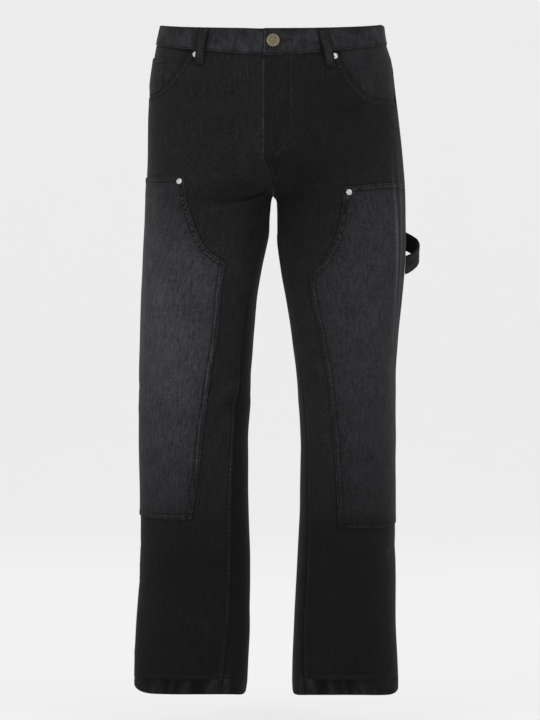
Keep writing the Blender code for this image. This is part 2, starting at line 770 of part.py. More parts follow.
def back_outline(side):
    yoke = level_run(yoke_seam, 0.5, 1.0)
    centre = seam_run(1.0, YOKE_BACK, FORK)
    inseam = seam_run(1.0, FORK, float(hem_edge(side, 1.0)))
    hem = hem_run(side, 1.0, 0.5)
    outseam = seam_run(0.5, YOKE_SIDE, float(hem_edge(side, 0.5)))[::-1]
    return join_runs(yoke, centre, inseam, hem, outseam)


def yoke_outline(side):
    waist = level_run(lambda c: waist_seam(side, c), 0.5, 1.0)
    centre = [(1.0, float(waist_seam(side, 1.0))), (1.0, YOKE_BACK)]
    yoke = level_run(yoke_seam, 1.0, 0.5)
    return join_runs(waist, centre, yoke)


def facing_outline(side):
    tuck = tuck_run(side)
    waist = level_run(lambda c: waist_seam(side, c), 0.5, tuck[0][0])
    side_seam = [(0.5, tuck[-1][1]), (0.5, mouth_run(side)[-1][1]), (0.5, -60.0), (0.5, float(waist_seam(side, 0.5)))]
    return join_runs(waist, tuck, side_seam)


def coin_outline(side):
    top = path(side, COIN_TOP, 16.0)
    inner = path(side, COIN_INNER, 16.0)
    mouth = [(c, z + COIN_LIFT) for c, z in mouth_run(side) if c > inner[-1][0] + 0.012]
    return join_runs(top[::-1], inner, mouth, [(0.5, -60.0), (0.5, top[-1][1])])


def pocket_outline(side):
    return join_runs(*[path(side, run, 20.0, back=True) for run in BACK_POCKET])


# The pieces


def fly_height(c, z):
    """The left front is doubled by the fly, down to the end of the stitched curve."""
    inside = (c - float(fly_line(z))) * ARC
    along = ramp((FLY_WIDE + FLY_FADE - inside) / FLY_FADE)
    return float(FLY_RISE * along * ramp((z - FLY_END + 24) / 24))


def hem_inner(c, z):
    return -HEM_CLOTH if z < HEM_LINE - HEM_STEP / 2 else -CLOTH


def facing_face(side):
    mouth = mouth_run(side)

    def height(c, z):
        under = c < mouth[0][0] or any(
            a[0] <= c <= b[0] and z < a[1] + (b[1] - a[1]) * (c - a[0]) / (b[0] - a[0] + 1e-9)
            for a, b in zip(mouth, mouth[1:])
        )
        if under:
            return -FACING_DROP
        rise = float(ramp((line_distance((c, z), mouth) - 5.0) / FACING_FADE))
        return -FACING_DROP + (FACING_DROP - 0.2) * rise

    return height


def make_side(side, looks):
    name = SIDES[side]
    denim = looks["denim"]
    patch = patch_outline(side)
    front = triangulate(front_outline(side), [patch + patch[:1], tuck_run(side)])
    raised = fly_height if side == 1 else 0.0
    cloth("front_" + name, side, front, raised, hem_inner, denim)
    cloth("knee_patch_" + name, side, part_of(front, patch), GAP + PATCH_CLOTH, GAP, looks["patch"])

    pocket = pocket_outline(side)
    back = triangulate(back_outline(side), [pocket + pocket[:1]])
    cloth("back_" + name, side, back, 0.0, hem_inner, denim)
    cloth("back_pocket_" + name, side, part_of(back, pocket), GAP + PATCH_CLOTH, GAP, denim)
    cloth("yoke_" + name, side, triangulate(yoke_outline(side)), 0.0, -CLOTH, denim)

    height = facing_face(side)
    lines = [mouth_run(side)]
    coin = coin_outline(side) if side == -1 else None
    if coin:
        lines.append(coin + coin[:1])
    facing = triangulate(facing_outline(side), lines)
    cloth("pocket_facing_" + name, side, facing, height, lambda c, z: height(c, z) - FACING_CLOTH, denim)
    if coin:
        cloth(
            "coin_pocket", side, part_of(facing, coin), lambda c, z: height(c, z) + GAP + PATCH_CLOTH,
            lambda c, z: height(c, z) + GAP, denim, trim=2 * SEAM,
        )


def waistband(look):
    """One strap from the button end, under the left end, round the back to the buttonhole end."""
    under_end, over_end, lap = 0.055, -FLY_EDGE, 0.07
    lapped = np.linspace(under_end, over_end, 5)
    right = np.concatenate([np.linspace(over_end, -0.5, 15)[1:], np.linspace(-0.5, -1, 14)[1:]])
    left = np.concatenate([np.linspace(1, 0.5, 14)[1:], np.linspace(0.5, 0, 14)[1:], [over_end]])
    stops = np.concatenate([lapped, right, left])
    sink = np.concatenate([np.ones(len(lapped)), 1 - ramp((over_end - right) / lap), np.zeros(len(left))])
    sink = sink * (BAND_CLOTH + GAP)
    rows = []
    for c, down in zip(stops, sink):
        side = -1 if c < 0 else 1
        around = abs(c)
        low = float(waist_seam(side, around)) + SEAM
        top = float(waist_top(side, around))
        section = []
        for share, height in ((0, BAND_OUT), (0.5, BAND_OUT), (1, BAND_OUT), (1, BAND_IN), (0.5, BAND_IN), (0, BAND_IN)):
            z = low + (top - low) * share
            point = place(side, around, z) + outward(side, around, z) * (height - down)
            section.append(point * MM)
        rows.append(section)
    return strip("waistband", rows, look)


def belt_loops(look):
    for name, side, back, x_top, x_low, z_low in LOOPS:
        around_top = round_at(side, x_top, 0.0, back) if x_top else 1.0
        around_low = round_at(side, x_low, z_low, back) if x_low else 1.0
        top = float(waist_top(side, around_top)) - 1.0
        rows = []
        for share, stand in LOOP_STOPS:
            z = top + (z_low - top) * share
            middle = around_top + (around_low - around_top) * share
            seam = float(waist_seam(side, middle))
            on_band = float(ramp((z - seam + 5.0) / 6.0))
            base = BAND_OUT * on_band + GAP + LOOP_STAND * stand
            section = []
            for across, height in ((-1, 0), (0, 0), (1, 0), (1, 1), (0, 1), (-1, 1)):
                wide = LOOP_WIDE / 2 / girth_step(side, middle, z)
                point = place(side, middle + across * wide, z)
                normal = outward(side, middle + across * wide, z)
                section.append((point + normal * (base + height * LOOP_CLOTH)) * MM)
            rows.append(section)
        strip(name, rows, look)


def girth_step(side, around, z):
    """Millimetres of cloth in one round, just here."""
    ends = place(side, np.array([around - 0.01, around + 0.01]), z)
    return float(np.linalg.norm(ends[1] - ends[0])) / 0.02


def height_over(carrier, point, normal):
    """How high the carrier's faces are over a point of the cloth, in millimetres."""
    tree = BVHTree.FromObject(carrier, bpy.context.evaluated_depsgraph_get())
    normal = Vector(normal).normalized()
    point = Vector(point) * MM
    hit = tree.ray_cast(point + normal * SEAT_REACH * MM, -normal, 2 * SEAT_REACH * MM)[0]
    return (hit - point).dot(normal) / MM if hit else -SEAT_REACH


def hammer_loop(look):
    carrier = bpy.data.objects["back_left"]
    edges = []
    for c, stand, z in HAMMER_PATH:
        around, heights = np.full(3, c), z + np.array([-1, 0, 1]) * HAMMER_WIDE / 2
        base, normal = place(1, around, heights), outward(1, around, heights)
        seat = max(height_over(carrier, p, n) for p, n in zip(base, normal))
        edges.append([Vector(p + n * (seat + GAP + HAMMER_CLOTH / 2 + stand)) for p, n in zip(base, normal)])
    rows = []
    for i, (low, middle, top) in enumerate(edges):
        ahead = edges[min(i + 1, len(edges) - 1)][1] - edges[max(i - 1, 0)][1]
        out = (top - low).cross(ahead).normalized() * HAMMER_CLOTH / 2
        rows.append([p * MM for p in (low - out, middle - out, top - out, top + out, middle + out, low + out)])
    strip("hammer_loop", rows, look)


def seat_on(carrier, point, normal, across):
    """The seat of a round piece: the highest place of the carrier's faces under it."""
    normal = Vector(normal).normalized()
    point = Vector(point)
    right = normal.orthogonal().normalized()
    up = normal.cross(right)
    high = -SEAT_REACH
    for share in (0.0, 0.5, 1.0):
        for k in range(12):
            angle = 2 * math.pi * k / 12
            spot = point + (right * math.cos(angle) + up * math.sin(angle)) * across / 2 * share
            high = max(high, height_over(carrier, spot, normal))
    return point + normal * high


def hardware(looks):
    seat = place(1, 0.0, BUTTON["z"])
    normal = outward(1, 0.0, BUTTON["z"])
    seat = seat_on(bpy.data.objects["waistband"], seat, normal, BUTTON["across"])
    turned_piece("button", seat, normal, BUTTON["across"], BUTTON_PROFILE, 20, looks["brass"])
    for side, name in SIDES.items():
        for kind, spots, carrier in (("pocket", POCKET_RIVETS, "front_"), ("patch", PATCH_RIVETS, "knee_patch_")):
            x, z = spots[side]
            around = round_at(side, x, z)
            normal = outward(side, around, z)
            seat = seat_on(bpy.data.objects[carrier + name], place(side, around, z), normal, RIVET_ACROSS)
            turned_piece(
                f"rivet_{kind}_{name}", seat, normal, RIVET_ACROSS, RIVET_PROFILE, 12, looks["steel"]
            )


def build():
    clear_scene()
    looks = {
        "denim": material("denim", (0.020, 0.021, 0.024), 0.9),
        "patch": material("patch denim", (0.032, 0.034, 0.038), 0.9),
        "brass": material("aged brass", (0.30, 0.23, 0.13), 0.4, 1.0),
        "steel": material("rivet steel", (0.55, 0.55, 0.55), 0.35, 1.0),
    }
    for side in SIDES:
        make_side(side, looks)
    waistband(looks["denim"])
    belt_loops(looks["denim"])
    hammer_loop(looks["denim"])
    hardware(looks)


build()
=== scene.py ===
"""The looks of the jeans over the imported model: fine cloth, stitches, wash and wear, metal, and the studio.

The cloth is the same chart as the model's: a place is (side, round, z), where side is the wearer's, 1 is left,
round runs from 0 at the centre front or inseam through 0.5 at the side seam to 1 at the centre back or inseam,
and z is the height. Lengths are millimetres until a mesh is made.
"""

import math

import bpy
import numpy as np
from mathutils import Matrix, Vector
from mathutils.geometry import delaunay_2d_cdt
from mathutils.kdtree import KDTree


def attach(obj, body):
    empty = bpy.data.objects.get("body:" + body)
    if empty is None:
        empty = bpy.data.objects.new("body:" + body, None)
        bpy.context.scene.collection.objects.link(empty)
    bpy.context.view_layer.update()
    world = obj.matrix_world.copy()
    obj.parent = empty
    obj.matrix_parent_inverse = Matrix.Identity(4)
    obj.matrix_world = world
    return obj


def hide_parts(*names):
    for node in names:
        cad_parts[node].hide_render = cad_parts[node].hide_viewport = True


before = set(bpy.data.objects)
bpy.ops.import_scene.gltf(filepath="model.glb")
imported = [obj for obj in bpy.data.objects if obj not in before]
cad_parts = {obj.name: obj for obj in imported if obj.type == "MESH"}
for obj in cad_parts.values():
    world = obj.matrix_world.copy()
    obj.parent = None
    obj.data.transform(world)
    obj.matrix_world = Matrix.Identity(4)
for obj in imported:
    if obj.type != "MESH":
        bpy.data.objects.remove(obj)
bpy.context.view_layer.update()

MM = 0.001
BODY = "root"
SIDES = {-1: "right", 1: "left"}

# Cloth and heights, as in the model
CLOTH = 1.5
GAP = 0.3
SEAM = GAP / 2
PATCH_CLOTH = 1.2
FACING_CLOTH = 1.2
BAND_OUT = 1.2
BAND_IN = -1.8
FLY_RISE = 1.2
FLY_WIDE = 34.0
FLY_FADE = 12.0
FLY_END = -200.0
HEM_LINE = -1026.0
HEM_CLOTH = 3.0
HEM = -1049.0
FORK = -259.0
RISE_FRONT = 66.0
RISE_BACK = 128.0
RISE_THIGH = 0.92
INNER_BAND = 0.26
SADDLE = (0.12, 0.28)
ROUNDING = 0.94
TOP_FRONT = 0.0
TOP_SIDE = 16.0
TOP_RISE = 2.0
TOP_DIP = {-1: 2.5, 1: 5.0}
TOP_DIP_WIDE = 0.035  # in round
SEAM_FRONT = -43.0
SEAM_SIDE = -16.0
SEAM_BACK = -22.0
SEAM_BEND = 0.6
YOKE_SIDE = -62.0
YOKE_BACK = -104.0
FLY_EDGE = 0.020
ARC = 500.0

HIP_COLUMNS = ("z", "right", "left", "front", "back", "middle", "turn_right", "turn_left")
HIPS = (
    (20, 178, 176, 89, 91, 0, -2, 4),
    (-15, 186, 181, 93, 97, 0, -2, 5),
    (-47, 192, 190, 96, 104, 0, -3, 6),
    (-89, 197.5, 195, 100, 114, 1, -4, 8),
    (-137, 200.5, 201, 103, 123, 2, -4, 10),
    (-185, 201, 206.5, 104, 128, 4, -5, 12),
    (-233, 202, 211, 103, 127, 5, -6, 13),
    (-259, 203, 212.5, 101, 122, 6, -6, 14),
)
LEG_COLUMNS = (
    "z", "right_out", "right_in", "left_out", "left_in", "girth", "middle",
    "inseam_right", "inseam_left", "turn_right", "turn_left",
)
LEGS = (
    (-259, 203, 0, 212.5, 0, 640, 6, 0, 0, -6, 14),
    (-262, 203, 1.6, 212.6, 3.2, 638, 6, 3, 1, -6, 14),
    (-266, 203, 2.4, 212.7, 5.6, 636, 6, 6, 2, -6, 14),
    (-281, 203.5, 3.5, 213, 6.4, 630, 5, 12, 4, -6, 14),
    (-329, 205.5, 8.5, 213.3, 7, 606, 3, 24, 8, -8, 14),
    (-377, 207.5, 17.6, 211, 12, 584, 0, 29, 11, -10, 13),
    (-425, 209.5, 25.6, 206.5, 20.8, 562, -2, 33, 13, -12, 12),
    (-489, 211.5, 31, 199, 30.7, 530, -3, 36, 17, -14, 8),
    (-553, 213, 34.7, 195, 38.2, 502, -3, 38, 26, -16, 6),
    (-649, 213, 39.2, 195, 43.5, 482, 0, 43, 31, -20, 5),
    (-745, 211.7, 38.7, 195, 42.7, 468, 5, 47, 34, -24, 5),
    (-841, 213, 36.6, 196.3, 38.6, 461, 9, 49, 37, -26, 2),
    (-937, 218.6, 37.4, 197.8, 34.1, 455, 10, 51, 36, -28, -2),
    (-1033, 223, 40.6, 201, 29.9, 450, 7, 56, 40, -31, -6),
    (-1049, 223.2, 42.5, 201, 30.6, 450, 6, 56, 40, -32, -6),
)
# The hem's lower edge over HEM, by the sine of the place round the leg: 1 in front, -1 behind
HEM_COLUMNS = ("sine", "outer_right", "outer_left", "inner")
HEM_LIFTS = (
    (1.0, -1.8, -1.8, -1.8),
    (0.77, -1.7, -3.7, -3.2),
    (0.59, 0.0, -3.9, -4.6),
    (0.42, 2.7, -2.6, -5.5),
    (0.22, 6.5, 0.2, -4.2),
    (0.0, 10.0, 3.3, 0.5),
    (-0.2, 11.0, 6.5, 2.0),
    (-0.5, 5.0, 4.0, 1.5),
    (-1.0, 0.0, 0.0, 0.0),
)
# Folds: side, round, z, half its length and width, tilt in degrees, lift
FOLDS = (
    (-1, 0.150, -268, 48, 13, -14, -4.5),
    (-1, 0.165, -240, 55, 17, -12, 3.0),
    (1, 0.120, -252, 42, 14, -22, -3.0),
    (1, 0.140, -226, 50, 18, -20, 2.5),
    (-1, 0.040, -606, 34, 14, -30, -4.0),
    (-1, 0.050, -574, 36, 15, -22, 3.5),
    (1, 0.430, -350, 120, 15, 90, 2.2),
    (1, 0.470, -350, 110, 14, 90, -1.8),
    (1, 0.440, -826, 34, 14, 18, -2.5),
    (-1, 0.800, -300, 80, 17, 16, -5.0),
    (-1, 0.780, -332, 75, 18, 12, 4.0),
    (1, 0.790, -306, 78, 17, 18, -5.0),
    (1, 0.800, -340, 72, 18, 10, 3.5),
    (-1, 0.740, -560, 70, 17, 14, -5.0),
    (-1, 0.760, -594, 62, 17, 4, 4.0),
    (-1, 0.720, -632, 60, 17, -10, -4.0),
    (1, 0.750, -576, 68, 17, 8, -5.0),
    (1, 0.730, -612, 64, 18, 16, 4.0),
    (1, 0.770, -650, 56, 16, -6, -3.5),
    (-1, 0.700, -930, 55, 18, 10, -3.0),
    (1, 0.720, -950, 58, 18, -12, -3.0),
)

# Small creases over the folds. bend bows the crease, in millimetres at its ends. The last column adds grey
# levels:
# lighter on rubbed ridges, as wear, and darker in troughs, as painted shade.
# side, round, z, half its length and width, tilt, lift, bend, wear and painted shade
CREASES = (
    # the front of the thighs, below the fork
    (-1, 0.105, -262, 36, 3.4, -24, -2.2, 5, -15),
    (-1, 0.150, -279, 40, 6.0, -16, 1.0, 6, 3),
    (-1, 0.075, -286, 26, 5.0, -38, -1.1, 3, -4),
    (-1, 0.060, -322, 30, 7.0, -62, -1.3, 2, -4),
    (-1, 0.205, -252, 30, 5.0, -8, -0.8, -4, -2),
    (-1, 0.120, -226, 44, 7.0, -22, 0.9, 7, 2),
    (1, 0.085, -258, 28, 4.5, -30, -1.2, 4, -5),
    (1, 0.120, -268, 36, 6.0, -20, 0.8, 5, 2),
    (1, 0.065, -296, 30, 5.5, -52, -0.9, 3, -3),
    (1, 0.150, -236, 38, 6.0, -14, -0.7, 6, -2),
    (1, 0.060, -350, 44, 7.5, -76, 0.9, 3, 3),
    # the hips and fly
    (1, 0.250, -82, 20, 4.0, 62, 0.7, 3, 3),
    (1, 0.285, -92, 18, 4.0, -58, 0.7, -3, 3),
    (1, 0.225, -126, 30, 6.0, 18, -0.6, 4, -2),
    (1, 0.170, -70, 22, 5.0, 30, 0.5, 3, 2),
    (1, 0.048, -92, 8, 3.2, 4, 0.6, 1, 3),
    (1, 0.052, -118, 9, 3.0, -8, 0.6, 1, 3),
    (1, 0.046, -139, 8, 3.2, 6, 0.5, 1, 2),
    (1, 0.055, -162, 10, 3.4, 12, 0.5, 1, 2),
    (1, 0.030, -190, 16, 4.0, 40, 0.6, 4, 2),
    (-1, 0.100, -150, 42, 9.0, -12, -0.6, 6, -1),
    (-1, 0.230, -120, 36, 8.0, 14, 0.5, -5, 1),
    (-1, 0.300, -170, 40, 8.0, -18, 0.6, 4, 1),
    (1, 0.300, -190, 42, 8.0, 12, 0.5, -5, 1),
    (-1, 0.400, -150, 34, 7.0, 24, -0.6, 3, -1),
    (1, 0.420, -150, 36, 7.0, -24, -0.6, 3, -1),
    # down the thighs and round the knees
    (-1, 0.415, -330, 70, 7.0, 84, 0.8, 5, 4),
    (-1, 0.370, -300, 80, 9.0, 80, 0.6, -6, 3),
    (-1, 0.300, -420, 60, 11.0, 74, 0.5, 5, 2),
    (-1, 0.190, -430, 46, 10.0, 66, -0.5, 4, -1),
    (-1, 0.030, -560, 22, 5.0, -34, 1.0, 2, 4),
    (-1, 0.035, -590, 20, 4.0, -26, -1.3, 2, -6),
    (-1, 0.450, -560, 26, 7.0, 20, -0.7, 3, -1),
    (-1, 0.460, -600, 30, 8.0, -10, 0.6, 3, 1),
    (-1, 0.200, -610, 40, 10.0, 12, -0.6, 5, -1),
    (-1, 0.300, -650, 44, 10.0, -8, 0.5, 5, 1),
    (1, 0.427, -345, 125, 2.8, 91, 1.2, 2, 42),
    (1, 0.441, -345, 120, 4.6, 91, -1.0, 2, -26),
    (1, 0.459, -330, 110, 2.6, 90, 0.6, 2, 16),
    (1, 0.395, -560, 60, 9.0, 80, 0.6, 4, 3),
    (1, 0.240, -500, 50, 11.0, 70, -0.5, 5, -1),
    (1, 0.180, -590, 40, 9.0, -12, -0.6, 4, -1),
    (1, 0.300, -640, 46, 10.0, 10, 0.5, 5, 1),
    (1, 0.060, -560, 24, 6.0, 30, -0.7, 3, -2),
    # the lower legs
    (-1, 0.430, -810, 26, 5.5, 34, -0.8, 3, -2),
    (-1, 0.440, -845, 30, 6.5, 22, 0.7, 3, 3),
    (-1, 0.420, -880, 24, 5.5, -18, -0.6, 2, -2),
    (-1, 0.310, -905, 36, 8.0, 14, 0.6, 4, 1),
    (-1, 0.210, -860, 34, 8.0, -20, -0.6, 4, -1),
    (-1, 0.130, -930, 28, 7.0, 26, 0.6, 3, 2),
    (-1, 0.250, -975, 40, 8.0, -8, -0.6, 4, -1),
    (-1, 0.420, -985, 28, 7.0, 16, 0.6, 3, 2),
    (1, 0.435, -816, 18, 3.6, 40, -0.9, 2, -3),
    (1, 0.445, -832, 18, 3.6, 30, 0.8, 2, 5),
    (1, 0.440, -846, 16, 3.6, 18, -0.8, 2, -3),
    (1, 0.330, -870, 36, 8.0, -12, 0.6, 4, 1),
    (1, 0.210, -840, 30, 7.0, 16, -0.6, 3, -1),
    (1, 0.140, -900, 28, 7.0, -24, 0.6, 3, 2),
    (1, 0.260, -950, 38, 8.0, 10, -0.6, 4, -1),
    (1, 0.100, -985, 26, 6.0, 34, 0.6, 3, 2),
    # the back: seat, behind the knees, and lower legs
    (-1, 0.880, -276, 40, 6.0, 24, -1.4, 5, -4),
    (-1, 0.840, -318, 50, 7.0, 10, -1.0, 5, -2),
    (-1, 0.860, -236, 36, 6.0, 30, -0.8, 4, -2),
    (-1, 0.620, -250, 40, 9.0, -20, 0.6, 4, 1),
    (1, 0.885, -280, 42, 6.0, 22, -1.4, 5, -4),
    (1, 0.835, -326, 48, 7.0, 14, -1.0, 5, -2),
    (1, 0.860, -232, 34, 6.0, 34, -0.8, 4, -2),
    (1, 0.640, -262, 38, 9.0, -16, 0.6, 4, 1),
    (-1, 0.660, -545, 34, 6.0, 24, 1.0, 4, 4),
    (-1, 0.820, -572, 36, 6.0, -14, -1.1, 4, -3),
    (-1, 0.690, -612, 40, 6.5, 6, -1.0, 4, -3),
    (-1, 0.830, -628, 34, 6.0, 18, 0.9, 3, 3),
    (-1, 0.760, -668, 38, 7.0, -12, -0.8, 4, -2),
    (1, 0.670, -560, 36, 6.0, 20, 1.0, 4, 4),
    (1, 0.830, -590, 34, 6.0, -16, -1.1, 4, -3),
    (1, 0.700, -632, 38, 6.5, 8, -1.0, 4, -3),
    (1, 0.820, -646, 34, 6.0, 16, 0.9, 3, 3),
    (1, 0.750, -684, 36, 7.0, -10, -0.8, 4, -2),
    (-1, 0.620, -860, 30, 7.0, 20, -0.7, 3, -1),
    (-1, 0.780, -900, 36, 7.0, -14, 0.7, 4, 2),
    (-1, 0.700, -985, 40, 7.5, 8, -0.8, 4, -2),
    (1, 0.640, -880, 30, 7.0, -20, -0.7, 3, -1),
    (1, 0.790, -915, 36, 7.0, 16, 0.7, 4, 2),
    (1, 0.700, -1000, 38, 7.5, -6, -0.8, 4, -2),
)
UNDULATION = ((95.0, 0.9, 3), (38.0, 0.32, 5))  # size and lift of the cloth's slow unevenness, and a seed

# The wash, as grey levels of the finished cloth from 0 to 255: down the panels, and what patches add
TONE_COLUMNS = ("z", "right", "left")
FRONT_TONES = (
    (20, 38, 33), (-43, 30, 24), (-90, 29, 23), (-200, 29, 23), (-260, 29, 25), (-330, 32, 31), (-450, 34, 35),
    (-600, 32, 34), (-740, 28, 29), (-800, 22, 21), (-900, 19, 19), (-1015, 18, 18), (-1049, 22, 22),
)
BACK_TONES = (
    (20, 37, 37), (-100, 32, 32), (-180, 34, 34), (-260, 26, 26), (-450, 27, 27), (-600, 24, 24),
    (-800, 21, 21), (-1015, 18, 18), (-1049, 20, 20),
)
PATCH_TONES = (
    (-228, 10, 17), (-300, 18, 17), (-380, 24, 14), (-500, 26, 13), (-600, 22, 11), (-700, 18, 9),
    (-786, 15, 7),
)
# Lighter and darker places: side, back (1) or front (0), x from the middle, z, half width, half height, grey
# levels added.
# Most lighter ones are wash, and the narrow ones at the outer edges of the shins are painted highlights. The
# darker ones on the inner thighs, near the fork and on the back beside the inseam are painted shade; the others
# are darker just below the seat and on the left hip.

WASH_LIGHT_AND_SHADE_SPOTS = (
    (-1, 0, 178, -450, 46, 190, 9),
    (-1, 0, 150, -560, 34, 90, 5),
    (-1, 0, 40, -470, 30, 120, -6),
    (-1, 0, 66, -262, 40, 30, -6),
    (-1, 0, 22, -330, 20, 70, -12),
    (1, 0, 150, -400, 60, 170, 4),
    (1, 0, 176, -270, 26, 60, 4),
    (1, 0, 40, -330, 34, 90, -6),
    (1, 0, 30, -230, 40, 50, -4),
    (1, 0, 110, -110, 50, 40, -2),
    (-1, 0, 196, -860, 18, 150, 3),
    (-1, 1, 44, -700, 26, 330, -9),
    (1, 1, 40, -700, 26, 330, -7),
    (1, 0, 186, -860, 18, 150, 2),
    (-1, 1, 100, -170, 70, 60, 6),
    (1, 1, 100, -170, 70, 60, 6),
    (-1, 1, 120, -420, 50, 120, 4),
    (1, 1, 120, -420, 50, 120, 4),
    (-1, 1, 60, -285, 60, 26, -6),
    (1, 1, 60, -285, 60, 26, -6),
)
TINT = (0.97, 1.0, 1.12)
STUDIO_LIGHT = 1.6  # how much lighter the front of the cloth shows than its own colour
RIDGE_WEAR_AND_DIP_SHADE = 2.2  # grey levels for each millimetre that the fine relief stands out: lighter as wear, and darker where it sinks, as painted shade

# Outlines, as in the model
MOUTHS = {
    -1: ((128, None), (140.5, -51), (151, -66), (164, -82.5), (177.5, -92), (187.5, -98), (None, -101)),
    1: ((101, None), (107, -52), (114, -66), (122.7, -79), (133, -93), (151, -106), (172, -111), (None, -112)),
}
PATCHES = {
    -1: (
        ((None, -228), (140.5, -234)),
        ((140.5, -234), (137.5, -255), (131, -288), (119.5, -320), (108, -342), (92.5, -356.5), (75.5, -368)),
        ((75.5, -368), (87.5, -473.5), (100, -553.5), (112, -642), (117, -695), (129.5, -772)),
        ((129.5, -772), (164, -772.5), (None, -766)),
    ),
    1: (
        ((None, -241.5), (183, -242), (113.5, -249)),
        ((113.5, -249), (109, -280), (105, -304), (97.5, -331.5), (87, -353.5), (76, -371.5), (59, -387.5)),
        ((59, -387.5), (63, -429), (73, -473.5), (84.5, -536), (91, -591.5), (97.5, -663), (104, -784)),
        ((104, -784), (170, -786), (None, -780)),
    ),
}
BACK_POCKET = (
    ((156, -94), (38, -114)),
    ((38, -114), (44, -236)),
    ((44, -236), (93, -262)),
    ((93, -262), (146, -230)),
    ((146, -230), (156, -94)),
)
COIN_TOP = ((169, -43.5), (None, -37))
COIN_INNER = ((169, -43.5), (176, -88))
COIN_LIFT = 2.0
TUCK = 12.0
FACING_DROP = CLOTH + GAP
FACING_FADE = 16.0

BUTTON = {"z": -20.0, "across": 21.0}
BAND_TALL = 43.0
BAND_ROWS = (0.06, 0.94)  # the band's two rows, as shares of its height
BAND_LAP = 0.07  # the under end sinks below the lapped one over this much round
RIVET_ACROSS = 9.5
POCKET_RIVETS = {-1: (122.0, -40.0), 1: (97.0, -43.5)}
PATCH_RIVETS = {-1: (146.5, -240.8), 1: (119.0, -257.8)}
LOOP_WIDE = 15.0
LOOP_CLOTH = 1.8
LOOP_STAND = 3.2
# name, side, whether behind, x at its top and its lower end, z of the lower end
LOOPS = (
    ("belt_loop_front_right", -1, False, 107.8, 115.8, -55.5),
    ("belt_loop_front_left", 1, False, 76.4, 90.5, -61.0),
    ("belt_loop_back_right", -1, True, 104.0, 106.0, -38.0),
    ("belt_loop_back_left", 1, True, 104.0, 106.0, -38.0),
    ("belt_loop_centre_back", 1, True, 0.0, 0.0, -40.0),
)
LOOP_STOPS = (  # shares of a loop's length and of how far it stands off
    (0.0, 0.0), (0.07, 0.12), (0.17, 1.0), (0.38, 1.0), (0.6, 1.0), (0.78, 0.9), (0.9, 0.1), (1.0, 0.0),
)
HAMMER_WIDE = 29.0
HAMMER_CLOTH = 2.2
STRAP_ROW = 2.4  # a strap's rows lie this far in from its edges
# round, how far it stands off, z
HAMMER_PATH = (
    (0.508, 0.0, -369), (0.514, 3.2, -367.5), (0.522, 10, -362.5), (0.532, 16.5, -356), (0.541, 19.6, -351),
    (0.552, 21, -346.5), (0.563, 21.2, -341.5), (0.578, 18.5, -335.5), (0.596, 13.5, -329), (0.616, 8, -322),
    (0.634, 3, -317), (0.652, 0.0, -314),
)

# Fine meshes
COARSE = 6.6  # distance between points in the open cloth
FINE = 3.4  # and along seams
FINE_REACH = 11.0
SHARP = 5.0  # creases narrower than this get fine points of their own
EDGE_DROP = 0.3
FOLDED_EDGE = 9.0  # the turned edge of a patch or pocket reaches this far in
FOLDED_RISE = 0.35

# Sewing
ROWS = (1.9, 8.3)  # the two rows of a double seam, from its edge
FLY_ROWS = (0.0, 6.4)
FLY_PUCKER = 3.2  # the puckered line between the fly's rows
STITCH_PITCH = 3.5
STITCH_LONG = 2.7
STITCH_WIDE = 0.8
STITCH_HIGH = 0.55
PUCKER = 0.20
PUCKER_REACH = 5.0
BEAD = 0.5  # the cloth between the two rows of a seam stands up in beads
BEAD_STEP = 7.6
BEAD_AT = 5.1
BEAD_WIDE = 2.6
BEAD_WEAR = 19.0
ROPE = 0.4  # uneven upright ridges in the hem
ROPE_STEP = 8.0
ROPE_WEAR = 19.0
SEAM_SHADE = 13.0  # grey levels lost beside a seam or under an edge
SHADE_WIDE = 3.0
INSEAM_WIDE = 2.2
PATCH_SHADE_WIDE = 2.6
ROW_POINTS = 1.2  # distance between the points that a row of stitches is worked out with
BESIDE_ROUND = 0.0045  # most that a row moves round, and up or down, for each millimetre beside its seam
BESIDE_HEIGHT = 1.5

# The studio, in metres
EYE = (-0.0048, -4.5, -0.5206)
PIXEL = 1.6 * MM  # at the middle of the jeans
PIXELS_TALL = 720
FILM = 36.0  # millimetres
WORLD_LIGHT = 0.62
PAPER = (0.195, 0.205)
PAPER_GLOW = 0.68
FLOOR = -1.112
SWEEP = {"near": -8.0, "far": 6.6, "radius": 1.6, "wide": 9.0, "tall": 6.0}
# name, place, what it looks at, size, watts
LAMPS = (
    ("key_left", (-2.6, -3.2, 1.4), (0, 0, -0.5), (1.8, 2.6), 42.0),
    ("key_right", (2.6, -3.2, 1.2), (0, 0, -0.5), (1.8, 2.6), 42.0),
    ("back_left", (2.8, 3.4, 1.2), (0, 0, -0.5), (1.8, 2.6), 34.0),
    ("back_right", (-2.8, 3.4, 1.2), (0, 0, -0.5), (1.8, 2.6), 34.0),
    ("top", (0.0, -1.2, 2.6), (0, 0, -0.4), (3.0, 1.6), 30.0),
)


# Curves and the body's surface


def curve(heights, values):
    """A smooth curve through the rows of a table, with no overshoot. The heights run downwards."""
    h = np.array(heights[::-1], float)
    v = np.array(values[::-1], float)
    step = np.diff(h)
    slope = np.diff(v) / step
    tangent = np.zeros_like(v)
    tangent[0], tangent[-1] = slope[0], slope[-1]
    for i in range(1, len(v) - 1):
        if slope[i - 1] * slope[i] > 0:
            near = 2 * step[i] + step[i - 1]
            far = step[i] + 2 * step[i - 1]
            tangent[i] = (near + far) / (near / slope[i - 1] + far / slope[i])

    def at(z):
        z = np.clip(z, h[0], h[-1])
        i = np.clip(np.searchsorted(h, z) - 1, 0, len(step) - 1)
        t = (z - h[i]) / step[i]
        start = (2 * t**3 - 3 * t**2 + 1) * v[i] + (t**3 - 2 * t**2 + t) * step[i] * tangent[i]
        end = (3 * t**2 - 2 * t**3) * v[i + 1] + (t**3 - t**2) * step[i] * tangent[i + 1]
        return start + end

    return at


